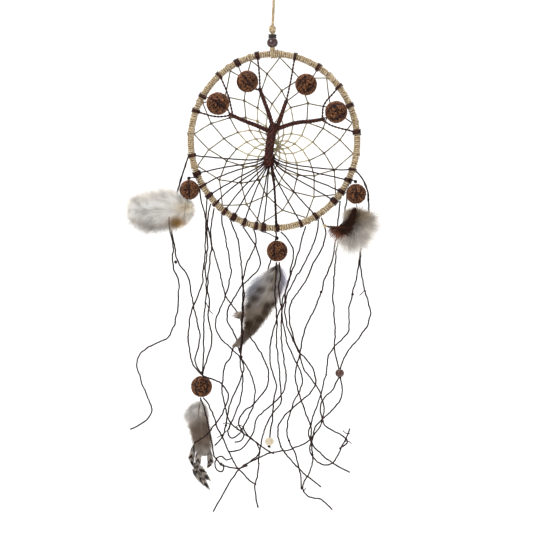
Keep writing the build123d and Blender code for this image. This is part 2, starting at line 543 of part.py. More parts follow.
# The small beads hang in the fringe, and their cords lie side by side in the holes
BROWN_BEAD = (66.0, -232.6, 4.5, 7.6, 1.65)      # x, z, radius, height, hole
NATURAL_BEAD = (-4.6, -301.0, 4.5, 7.8, 0.85)
BROWN_BEAD_DEPTH = 10.9 + belly(BROWN_BEAD[0], BROWN_BEAD[1])
NATURAL_BEAD_DEPTH = 8.1 + belly(NATURAL_BEAD[0], NATURAL_BEAD[1])
SIDE_BY_SIDE = 0.65

turned_bead("brown_bead", at(BROWN_BEAD[0], BROWN_BEAD_DEPTH, BROWN_BEAD[1]), *BROWN_BEAD[2:])
turned_bead("natural_bead", at(NATURAL_BEAD[0], NATURAL_BEAD_DEPTH, NATURAL_BEAD[1]), *NATURAL_BEAD[2:])

# side, layer, depth at the start, depth at the end where it is held, whether it swells, and
# how many runs it takes to reach its layer
LAYERS = {
    "fringe_left_long": (BACK, 6.5, 4.2),
    "fringe_left_seed_outer": (BACK, 8.1, 5.8, 1.0),
    "fringe_left_round_seed": (FRONT, 14.3, -4.2),
    "fringe_left_cross": (BACK, 9.7, 4.2),
    "fringe_left_seed_middle": (FRONT, 11.1, -4.2, -0.6),
    "fringe_left_seed_inner": (FRONT, 12.7, -4.2, -2.0),
    "fringe_left_tail": (BACK, 11.3, 4.2),
    "fringe_left_hook": (FRONT, 11.1, -4.2),
    "fringe_left_zigzag": (BACK, 6.5, 4.2),
    "fringe_left_short": (FRONT, 12.7, -4.2),
    "fringe_behind_feather": (BACK, 13.2, 4.2, None, True, 2),
    "fringe_natural_bead": (BACK, 8.1, 4.2, NATURAL_BEAD_DEPTH),
    "fringe_right_sweep_left": (FRONT, 14.3, -4.2),
    "fringe_right_diagonal": (FRONT, 15.9, -4.2),
    "fringe_right_to_left": (FRONT, 12.7, -4.2),
    "fringe_right_hook": (BACK, 6.5, 4.2),
    "fringe_right_bead_inner": (BACK, 9.7, 4.2, BROWN_BEAD_DEPTH - SIDE_BY_SIDE),
    "fringe_right_long": (BACK, 11.3, 4.2),
    "fringe_right_bead_outer": (BACK, 12.9, 5.8, BROWN_BEAD_DEPTH + SIDE_BY_SIDE),
    "bead_tail_left": (BACK, 9.7, BROWN_BEAD_DEPTH - SIDE_BY_SIDE),
    "bead_tail_right": (BACK, 12.9, BROWN_BEAD_DEPTH + SIDE_BY_SIDE),
    "centre_tail_left": (FRONT, 4.2, -2.0, None, False),
    "centre_tail_right": (FRONT, 5.8, -3.4, None, False),
    "seed_tail_left": (FRONT, 9.0, -2.0, None, False),
    "curl_ring": (FRONT, 7.6, -7.6, None, False),
    "seed_tail_right": (BACK, 4.2, 2.0, None, False),
}
for name, route in ROUTES.items():
    points = layered(route, *LAYERS[name])
    radii = bend_radii(points)
    with BuildPart() as cord:
        with BuildLine() as centreline:
            FilletPolyline(*points, radius=radii)
        cord_wire = centreline.wire()
        with BuildSketch(Plane(origin=cord_wire @ 0, z_dir=cord_wire % 0)):
            Circle(WAXED_CORD / 2)
        sweep(path=cord_wire)
    keep(name, cord.part)
    section = math.pi * (WAXED_CORD / 2) ** 2
    print(f"{name}: {cord_wire.length:.0f} mm, radii {min(radii):.1f} to {max(radii):.0f},"
          f" volume over section x length {cord.part.volume / (section * cord_wire.length):.4f}")

# Small knots where two cords are tied together or one is knotted: x, z, depth and radius
KNOTS = [
    (-4.9, -306.0, NATURAL_BEAD_DEPTH, 1.6),
    (-33.0, -215.5, -(11.9 + belly(-33.0, -215.5)), 1.9),
    (-98.6, -121.0, 7.3 + belly(-98.6, -121.0), 1.5),
    (47.2, -151.0, 6.5 + belly(47.2, -151.0), 1.4),
    (79.0, -153.5, 11.3 + belly(79.0, -153.5), 1.4),
]
with BuildPart() as cord_knots:
    for x, z, depth, radius in KNOTS:
        with Locations(at(x, depth, z)):
            Sphere(radius)
keep("cord_knots", cord_knots.part)
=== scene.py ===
# %% Dream catcher with a cord tree, seeds, feathers and a fringe
import math
import random
import bpy
import numpy as np
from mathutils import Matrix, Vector, noise


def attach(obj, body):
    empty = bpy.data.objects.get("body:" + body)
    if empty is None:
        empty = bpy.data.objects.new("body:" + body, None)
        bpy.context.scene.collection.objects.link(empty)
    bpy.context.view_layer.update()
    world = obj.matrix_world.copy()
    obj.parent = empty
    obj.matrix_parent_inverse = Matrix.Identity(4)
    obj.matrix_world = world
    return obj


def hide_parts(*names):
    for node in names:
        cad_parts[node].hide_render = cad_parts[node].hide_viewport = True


# The noise vectors are seeded from the clock unless this is set, and every run has to give the same cords
noise.seed_set(11)

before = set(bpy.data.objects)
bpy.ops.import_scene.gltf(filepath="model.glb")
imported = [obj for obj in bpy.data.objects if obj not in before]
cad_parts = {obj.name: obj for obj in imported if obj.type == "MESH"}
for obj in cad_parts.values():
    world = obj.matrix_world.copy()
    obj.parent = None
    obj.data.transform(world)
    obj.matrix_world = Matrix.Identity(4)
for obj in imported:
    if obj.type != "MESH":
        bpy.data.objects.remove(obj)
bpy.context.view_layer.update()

# %% [markdown]
# ## Places and the hoop's oval
# The hoop is one oval ring. Everything is tied to it, so places are given in millimetres from its middle,
# x to the right, y away from the viewer and z up, and `at` turns them into the frame's metres.
# The oval is four arcs that meet smoothly, so a place on it and its outward direction are exact.

# %% places
MM = 0.001
HOOP_DROP = 171.0
HALF_WIDTH, HALF_HEIGHT = 83.2, 87.0
CORNER_SHIFT = (HALF_HEIGHT - HALF_WIDTH) / (2 - math.sqrt(2))
END_ARC, SIDE_ARC = HALF_HEIGHT - CORNER_SHIFT, HALF_WIDTH + CORNER_SHIFT
JOIN_ANGLE = math.atan2(CORNER_SHIFT + END_ARC * math.sqrt(0.5), END_ARC * math.sqrt(0.5))
WRAP_RADIUS = 3.5
NECK_X = -1.6


def at(x, y, z):
    """A place given in millimetres from the hoop's middle, in the frame's metres."""
    return Vector((x * MM, y * MM, (z - HOOP_DROP) * MM))


def ring_point(angle):
    """The ring's centreline in a direction in radians, and the outward normal there, in millimetres."""
    across, up = math.cos(angle), math.sin(angle)
    if abs(up) > math.sin(JOIN_ANGLE):
        centre, radius = (0, math.copysign(CORNER_SHIFT, up)), END_ARC
    else:
        centre, radius = (-math.copysign(CORNER_SHIFT, across), 0), SIDE_ARC
    along = across * centre[0] + up * centre[1]
    reach = along + math.sqrt(radius ** 2 - CORNER_SHIFT ** 2 + along ** 2)
    x, z = reach * across, reach * up
    return x, z, (x - centre[0]) / radius, (z - centre[1]) / radius


# %% [markdown]
# ## Materials
# One small function adds a node with its settings and links, so each material reads as a short recipe.
# Colours are sRGB hex. Pattern sizes are given in real millimetres.

# %% material helpers
def srgb(code):
    """A colour written as #RRGGBB, as linear RGBA."""
    channels = [int(code[i:i + 2], 16) / 255 for i in (1, 3, 5)]
    linear = [c / 12.92 if c <= 0.04045 else ((c + 0.055) / 1.055) ** 2.4 for c in channels]
    return (*linear, 1.0)


def add(tree, kind, links=None, **settings):
    """Adds a node, sets its properties, and links other nodes' outputs to its sockets."""
    node = tree.nodes.new(kind)
    for key, value in settings.items():
        setattr(node, key, value)
    for socket, output in (links or {}).items():
        tree.links.new(output, node.inputs[socket])
    return node


def blank(name):
    """A new material with an empty node tree."""
    material = bpy.data.materials.new(name)
    material.use_nodes = True
    material.node_tree.nodes.clear()
    return material, material.node_tree


def per_mm(size):
    """The texture scale at which one feature is so many millimetres across."""
    return 1 / (size * MM)


def colour_steps(tree, factor, steps):
    """A colour ramp over (position, colour) steps."""
    ramp = add(tree, "ShaderNodeValToRGB", {"Fac": factor})
    while len(ramp.color_ramp.elements) < len(steps):
        ramp.color_ramp.elements.new(0.5)
    for element, (position, code) in zip(ramp.color_ramp.elements, steps):
        element.position = position
        element.color = srgb(code)
    return ramp.outputs["Color"]


def finish_surface(tree, colour, roughness, bump=None, specular_ior=1.5, coat=0.0, sheen=0.0):
    """The principled surface that every material ends in."""
    links = {"Base Color": colour}
    if bump is not None:
        links["Normal"] = bump
    surface = add(tree, "ShaderNodeBsdfPrincipled", links)
    surface.inputs["Roughness"].default_value = roughness
    surface.inputs["IOR"].default_value = specular_ior
    surface.inputs["Metallic"].default_value = 0.0
    surface.inputs["Coat Weight"].default_value = coat
    surface.inputs["Sheen Weight"].default_value = sheen
    add(tree, "ShaderNodeOutputMaterial", {"Surface": surface.outputs["BSDF"]})
    return surface


def shaded_hollows(tree, colour, distance, darkest):
    """The colour, darkened where the surface lies deep between its neighbours: painted shade in the hollows, from
    ambient occlusion.
    """
    open_sky = add(tree, "ShaderNodeAmbientOcclusion", samples=6)
    open_sky.inputs["Distance"].default_value = distance * MM
    depth = add(tree, "ShaderNodeMapRange", {"Value": open_sky.outputs["AO"]})
    depth.inputs["From Min"].default_value = 0.25
    depth.inputs["From Max"].default_value = 0.9
    depth.inputs["To Min"].default_value = darkest
    scaled = add(tree, "ShaderNodeVectorMath", {0: colour, "Scale": depth.outputs["Result"]}, operation="SCALE")
    return scaled.outputs["Vector"]


def fibre(name, steps, patch, roughness, sheen, strength=0.25, grain=0.35, hollow_shade=0.45):
    """Spun fibre: the colour drifts along the cord in patches, with painted shade in its hollows and fine hairs as
    bump.
    """
    material, tree = blank(name)
    place = add(tree, "ShaderNodeTexCoord").outputs["Object"]
    drift = add(tree, "ShaderNodeTexNoise", {"Vector": place})
    drift.inputs["Scale"].default_value = per_mm(patch)
    drift.inputs["Detail"].default_value = 3.0
    hairs = add(tree, "ShaderNodeTexNoise", {"Vector": place})
    hairs.inputs["Scale"].default_value = per_mm(grain)
    bump = add(tree, "ShaderNodeBump", {"Height": hairs.outputs["Fac"]})
    bump.inputs["Strength"].default_value = strength
    bump.inputs["Distance"].default_value = 0.1 * MM
    # The colour is darkened in the hollows as painted shade
    colour = shaded_hollows(tree, colour_steps(tree, drift.outputs["Fac"], steps), 1.5, hollow_shade)
    surface = finish_surface(tree, colour, roughness, bump.outputs["Normal"], sheen=sheen)
    surface.inputs["Specular IOR Level"].default_value = 0.2
    return material


def painted(name, attribute, roughness, through=0.0, sheen=0.0, grain=None, hollow_shade=None):
    """A surface coloured from a colour attribute of the mesh, with painted shade in its hollows if asked; thin barbs
    also let light through.
    """
    material, tree = blank(name)
    colour = add(tree, "ShaderNodeAttribute", attribute_name=attribute).outputs["Color"]
    if hollow_shade is not None:
        # The colour is darkened in the hollows as painted shade
        colour = shaded_hollows(tree, colour, 2.0, hollow_shade)
    bump = None
    if grain:
        place = add(tree, "ShaderNodeTexCoord").outputs["Object"]
        pits = add(tree, "ShaderNodeTexNoise", {"Vector": place})
        pits.inputs["Scale"].default_value = per_mm(grain)
        pits.inputs["Detail"].default_value = 4.0
        bump_node = add(tree, "ShaderNodeBump", {"Height": pits.outputs["Fac"]})
        bump_node.inputs["Strength"].default_value = 0.5
        bump_node.inputs["Distance"].default_value = 0.2 * MM
        bump = bump_node.outputs["Normal"]
    surface = finish_surface(tree, colour, roughness, bump, sheen=sheen)
    surface.inputs["Specular IOR Level"].default_value = 0.25
    if through:
        glow = add(tree, "ShaderNodeBsdfTranslucent", {"Color": colour})
        mixed = add(tree, "ShaderNodeMixShader")
        mixed.inputs["Fac"].default_value = through
        tree.links.new(surface.outputs["BSDF"], mixed.inputs[1])
        tree.links.new(glow.outputs["BSDF"], mixed.inputs[2])
        output = next(node for node in tree.nodes if node.type == "OUTPUT_MATERIAL")
        tree.links.new(mixed.outputs["Shader"], output.inputs["Surface"])
    return material


def turned_wood(name, light, dark, ring, roughness, coat):
    """Turned wood: stretched grain lines under an oil or lacquer coat."""
    material, tree = blank(name)
    place = add(tree, "ShaderNodeTexCoord").outputs["Object"]
    stretch = add(tree, "ShaderNodeMapping", {"Vector": place})
    stretch.inputs["Scale"].default_value = (1.0, 1.0, 0.2)
    grain = add(tree, "ShaderNodeTexNoise", {"Vector": stretch.outputs["Vector"]})
    grain.inputs["Scale"].default_value = per_mm(ring)
    grain.inputs["Detail"].default_value = 5.0
    grain.inputs["Distortion"].default_value = 0.8
    bump = add(tree, "ShaderNodeBump", {"Height": grain.outputs["Fac"]})
    bump.inputs["Strength"].default_value = 0.15
    bump.inputs["Distance"].default_value = 0.1 * MM
    finish_surface(tree, colour_steps(tree, grain.outputs["Fac"], [(0.3, dark), (0.7, light)]), roughness,
                   bump.outputs["Normal"], coat=coat)
    return material


# %% materials
# Cords and seeds are darkened in their hollows as painted shade, down to the share given for each
JUTE = fibre("jute", [(0.3, "#7C6040"), (0.48, "#BBA27C"), (0.7, "#E6D8BC")], 1.8, 0.85, 0.2, hollow_shade=0.22)
JUTE_HAIR = fibre("jute_hair", [(0.3, "#CDB68C"), (0.7, "#F0E4CA")], 6.0, 0.8, 0.2)
WAXED = fibre("waxed_cotton", [(0.3, "#0F0302"), (0.55, "#230C07"), (0.75, "#4A2317")], 3.0, 0.55, 0.0)
TREE_CORD = fibre("waxed_cotton_tree", [(0.3, "#150504"), (0.52, "#36140C"), (0.74, "#733B26")], 1.6, 0.42, 0.0,
                  hollow_shade=0.18)
HEART_THREAD = fibre("pale_linen_thread", [(0.3, "#857852"), (0.52, "#B3A683"), (0.75, "#D6CBAE")], 4.0, 0.8, 0.0)
WEB_THREAD = fibre("linen_thread", [(0.3, "#3E3624"), (0.52, "#6A5E44"), (0.75, "#A09472")], 4.0, 0.8, 0.0)
# The cane core is coloured dark: its own brown, darkened as painted shade where it shows between the turns of the
# jute
HOOP_CANE_WITH_GAP_SHADE = turned_wood("cane", "#4E3921", "#33240F", 1.5, 0.6, 0.0)
LACQUERED_WOOD = turned_wood("lacquered_wood", "#4A1512", "#1E0706", 1.2, 0.22, 0.8)
DARK_WOOD = turned_wood("dark_wood", "#35201A", "#170D0A", 0.8, 0.4, 0.2)
BROWN_WOOD = turned_wood("brown_wood", "#5D3120", "#2E150D", 0.9, 0.3, 0.4)
PALE_WOOD = turned_wood("pale_wood", "#EADFC8", "#CDB893", 0.9, 0.4, 0.2)
SEED_SHELL = painted("seed_shell", "shade", 0.42, grain=0.5, hollow_shade=0.12)
PLUME = painted("plume", "shade", 0.8, through=0.45, sheen=0.0)
QUILL = painted("quill", "shade", 0.35)

for node_name, wood in {"top_bead": LACQUERED_WOOD, "spacer_discs": DARK_WOOD, "brown_bead": BROWN_WOOD,
                        "natural_bead": PALE_WOOD, "hoop_core": HOOP_CANE_WITH_GAP_SHADE}.items():
    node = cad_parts[node_name]
    node.data.materials.clear()
    node.data.materials.append(wood)
print(len(bpy.data.materials), "materials")

# %% [markdown]
# ## Lines, tubes and fibres
# A cord's line is a smooth NURBS spline through a given route. Tubes are swept along the points read
# from it. A cord's cross-section has a lobe for each ply and turns along the line, which is how laid cord looks.
# Hair, fluff and feather barbs are narrow ribbons.

# %% geometry helpers
def read_line(name, places):
    """The points of a smooth NURBS line whose control points are the given places."""
    data = bpy.data.curves.new(name, "CURVE")
    data.dimensions = "3D"
    data.resolution_u = 8
    spline = data.splines.new("NURBS")
    spline.points.add(len(places) - 1)
    for point, place in zip(spline.points, places):
        point.co = (*place, 1.0)
    spline.order_u = 3
    spline.use_endpoint_u = True
    holder = bpy.data.objects.new(name, data)
    mesh = bpy.data.meshes.new_from_object(holder)
    line = np.array([vertex.co[:] for vertex in mesh.vertices])
    bpy.data.meshes.remove(mesh)
    bpy.data.objects.remove(holder)
    bpy.data.curves.remove(data)
    return line


def length_of(line):
    """The length of a line of points."""
    return float(np.linalg.norm(np.diff(line, axis=0), axis=1).sum())


def even_steps(line, step):
    """The same line with its points one step apart."""
    runs = np.concatenate([[0], np.cumsum(np.linalg.norm(np.diff(line, axis=0), axis=1))])
    places = np.linspace(0, runs[-1], max(3, int(runs[-1] / step) + 1))
    return np.stack([np.interp(places, runs, line[:, axis]) for axis in range(3)], axis=1)


def frames_along(line):
    """The direction at each point, and two directions across it that don't twist along the way."""
    ahead = np.gradient(line, axis=0)
    ahead /= np.linalg.norm(ahead, axis=1)[:, None]
    side = np.cross(ahead[0], (0.31, 0.87, 0.38))
    sides = np.empty_like(line)
    for index, direction in enumerate(ahead):
        side = side - direction * np.dot(side, direction)
        side /= np.linalg.norm(side)
        sides[index] = side
    return ahead, sides, np.cross(ahead, sides)


def tube(line, radius, around=8, plies=0, pitch=4 * MM, depth=0.16):
    """A closed tube along a line, in metres; with plies, its section is lobed and turns once in each pitch."""
    ahead, sides, ups = frames_along(line)
    count = len(line)
    radii = np.broadcast_to(radius, count).copy()
    runs = np.concatenate([[0], np.cumsum(np.linalg.norm(np.diff(line, axis=0), axis=1))])
    angles = np.linspace(0, 2 * math.pi, around, endpoint=False)[None, :]
    turn = 2 * math.pi * runs[:, None] / pitch
    lobes = 1 - depth * np.abs(np.sin(0.5 * plies * (angles - turn))) ** 3 if plies else np.ones((1, 1))
    lobes = np.broadcast_to(lobes, (count, around))
    if plies:
        lobes = 1.08 * (1 - depth * (1 - np.abs(np.cos(0.5 * plies * (angles - turn)))))
    out = np.cos(angles)[..., None] * sides[:, None, :] + np.sin(angles)[..., None] * ups[:, None, :]
    ring = line[:, None, :] + out * (radii[:, None] * lobes)[..., None]
    first = line[0] + out[0] * radii[0] * 0.3 - ahead[0] * radii[0] * 0.5
    last = line[-1] + out[-1] * radii[-1] * 0.3 + ahead[-1] * radii[-1] * 0.5
    points = np.concatenate([first[None], ring, last[None]]).reshape(-1, 3)
    rows = np.arange(count + 1)[:, None] * around
    here = np.arange(around)[None, :]
    after = (here + 1) % around
    faces = np.stack([rows + here, rows + after, rows + around + after, rows + around + here], axis=-1)
    return points, faces.reshape(-1, 4)


def ribbons(paths, across, widths):
    """Narrow strips: paths is (strips, points, 3), across the width's direction, widths per point."""
    strips, count = paths.shape[:2]
    half = across[:, None, :] * (np.broadcast_to(widths, (strips, count))[..., None] / 2)
    points = np.stack([paths - half, paths + half], axis=2).reshape(-1, 3)
    base = (np.arange(strips)[:, None] * count + np.arange(count - 1)[None, :]) * 2
    faces = np.stack([base, base + 1, base + 3, base + 2], axis=-1).reshape(-1, 4)
    return points, faces


def solid(name, parts, material, body, shades=None, smooth=True):
    """One mesh piece from several (points, faces) parts, riding on a body."""
    points, faces, start = [], [], 0
    for part_points, part_faces in parts:
        points.append(part_points)
        faces.append(part_faces + start)
        start += len(part_points)
    points, faces = np.concatenate(points), np.concatenate(faces)
    mesh = bpy.data.meshes.new(name)
    mesh.from_pydata(points.tolist(), [], faces.tolist())
    if smooth:
        mesh.shade_smooth()
    if shades is not None:
        colours = mesh.color_attributes.new("shade", "FLOAT_COLOR", "POINT")
        colours.data.foreach_set("color", np.asarray(shades, dtype=np.float32).ravel())
    mesh.materials.append(material)
    piece = bpy.data.objects.new(name, mesh)
    bpy.context.scene.collection.objects.link(piece)
    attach(piece, body)
    return piece


def strands(line, count, coil, radius, lay, phase=0.0, **shape):
    """A rope: several cords wound round one line, each at the coil's distance from it."""
    ahead, sides, ups = frames_along(line)
    runs = np.concatenate([[0], np.cumsum(np.linalg.norm(np.diff(line, axis=0), axis=1))])
    parts = []
    for index in range(count):
        turn = 2 * math.pi * (runs / lay + index / count) + phase
        offset = np.cos(turn)[:, None] * sides + np.sin(turn)[:, None] * ups
        parts.append(tube(line + offset * np.broadcast_to(coil, len(line))[:, None], radius, **shape))
    return parts


def wound_knot(centre, radius, cord, turns=5, tilt=0.9, squash=(1, 1, 1), seed=1):
    """A small hard knot: one cord wound over itself round a ball, changing direction as it goes."""
    steps = np.linspace(0, 1, 26 * turns)
    angle = steps * turns * 2 * math.pi
    lean = tilt * np.sin(steps * math.pi * 3 + seed)
    reach = (radius - cord) * (0.55 + 0.45 * np.sin(steps * math.pi) ** 0.5)
    x = np.cos(angle)
    y = np.sin(angle) * np.cos(lean)
    z = np.sin(angle) * np.sin(lean) + 0.5 * np.sin(steps * 2 * math.pi * 1.7 + seed)
    ball = np.stack([x, y, z], axis=1) * reach[:, None] * np.array(squash)
    return tube(np.array(centre) + ball, cord, around=7, plies=2, pitch=3 * MM)


def hairs(line, spread, length, width, number, seed):
    """Loose fibres that stand off a cord, each a fine bent ribbon."""
    rng = np.random.default_rng(seed)
    ahead, sides, ups = frames_along(line)
    pick = rng.integers(0, len(line), number)
    around = rng.uniform(0, 2 * math.pi, number)
    out = np.cos(around)[:, None] * sides[pick] + np.sin(around)[:, None] * ups[pick]
    lean = out * rng.uniform(0.3, 1.0, number)[:, None] + ahead[pick] * rng.normal(0, 0.9, number)[:, None]
    lean /= np.linalg.norm(lean, axis=1)[:, None]
    bend = rng.normal(0, 0.45, (number, 3))
    reach = rng.gamma(2.0, 0.5, number).clip(0.2, 2.5) * length
    share = np.linspace(0, 1, 5)[None, :, None]
    root = line[pick] + out * spread
    paths = root[:, None, :] + reach[:, None, None] * (lean[:, None, :] * share + bend[:, None, :] * share ** 2)
    across = np.cross(lean, rng.normal(0, 1, (number, 3)))
    across /= np.linalg.norm(across, axis=1)[:, None]
    return ribbons(paths, across, width * np.array([1, 1, 0.9, 0.7, 0.3])[None, :])


# %% [markdown]
# ## Stage and camera
# A pale floor far below sweeps up into a pale backdrop far behind, with soft area lights, so the thin dark cords
# read clearly. The camera is far away with a long lens, level with the middle of the hanging.

# %% stage
VIEW_SIZE = 540 * MM
VIEW_MIDDLE = Vector((-4 * MM, 0, -300 * MM))
VIEW_DISTANCE = 3.2
FLOOR_LEVEL = -0.95
BACKDROP_DEPTH = 1.6

world = bpy.data.worlds.new("studio")
bpy.context.scene.world = world
world.use_nodes = True
world.node_tree.nodes["Background"].inputs["Color"].default_value = (1.0, 1.0, 1.0, 1.0)
world.node_tree.nodes["Background"].inputs["Strength"].default_value = 0.62
bpy.context.scene.view_settings.view_transform = "Standard"

PAPER, paper_tree = blank("studio_paper")
paper_colour = add(paper_tree, "ShaderNodeRGB").outputs["Color"]
paper_colour.default_value = srgb("#FCFCFC")
finish_surface(paper_tree, paper_colour, 0.9)


def sweep_sheet():
    """The floor and the backdrop in one sheet, with a round bend between them."""
    bend, half, steps = 0.9, 6.0, 16
    profile = [(-8.0, FLOOR_LEVEL)]
    for step in range(steps + 1):
        angle = math.pi / 2 * step / steps
        profile.append((BACKDROP_DEPTH - bend + bend * math.sin(angle), FLOOR_LEVEL + bend * (1 - math.cos(angle))))
    profile.append((BACKDROP_DEPTH, 6.0))
    points = np.array([(side, y, z) for y, z in profile for side in (-half, half)])
    base = np.arange(len(profile) - 1) * 2
    faces = np.stack([base, base + 1, base + 3, base + 2], axis=1)
    mesh = bpy.data.meshes.new("studio_sweep")
    mesh.from_pydata(points.tolist(), [], faces.tolist())
    mesh.shade_smooth()
    mesh.materials.append(PAPER)
    sheet = bpy.data.objects.new("studio_sweep", mesh)
    bpy.context.scene.collection.objects.link(sheet)
    return sheet


sweep_sheet()


def soft_light(name, place, size, power):
    """A square area light that faces the middle of the hanging."""
    data = bpy.data.lights.new(name, "AREA")
    data.shape, data.size, data.energy = "SQUARE", size, power
    light = bpy.data.objects.new(name, data)
    light.location = place
    light.rotation_euler = (VIEW_MIDDLE - Vector(place)).to_track_quat("-Z", "Y").to_euler()
    bpy.context.scene.collection.objects.link(light)


soft_light("key_light", (-1.2, -1.7, 1.1), 0.9, 28)
soft_light("fill_light", (1.7, -1.6, -0.1), 1.4, 6)
soft_light("backdrop_light", (0.0, 0.5, 1.6), 1.6, 34)

camera_data = bpy.data.cameras.new("camera")
camera_data.sensor_width = 36.0
camera_data.lens = camera_data.sensor_width * VIEW_DISTANCE / VIEW_SIZE
camera_data.clip_end = 50.0
camera = bpy.data.objects.new("camera", camera_data)
camera.location = VIEW_MIDDLE - Vector((0, VIEW_DISTANCE, 0))
camera.rotation_euler = (math.pi / 2, 0, 0)
bpy.context.scene.collection.objects.link(camera)
bpy.context.scene.camera = camera
print("camera lens, mm:", round(camera_data.lens))

# %% [markdown]
# ## The fringe: free waxed cords
# Each cord is limp two-ply cotton stiffened with wax, so it keeps the waves it was wound with. The routes are the
# ones that the solid tubes follow. Cords in front of the hoop and behind it lie in layers of depth, which swell
# out a little below the hoop, so that none runs through another.

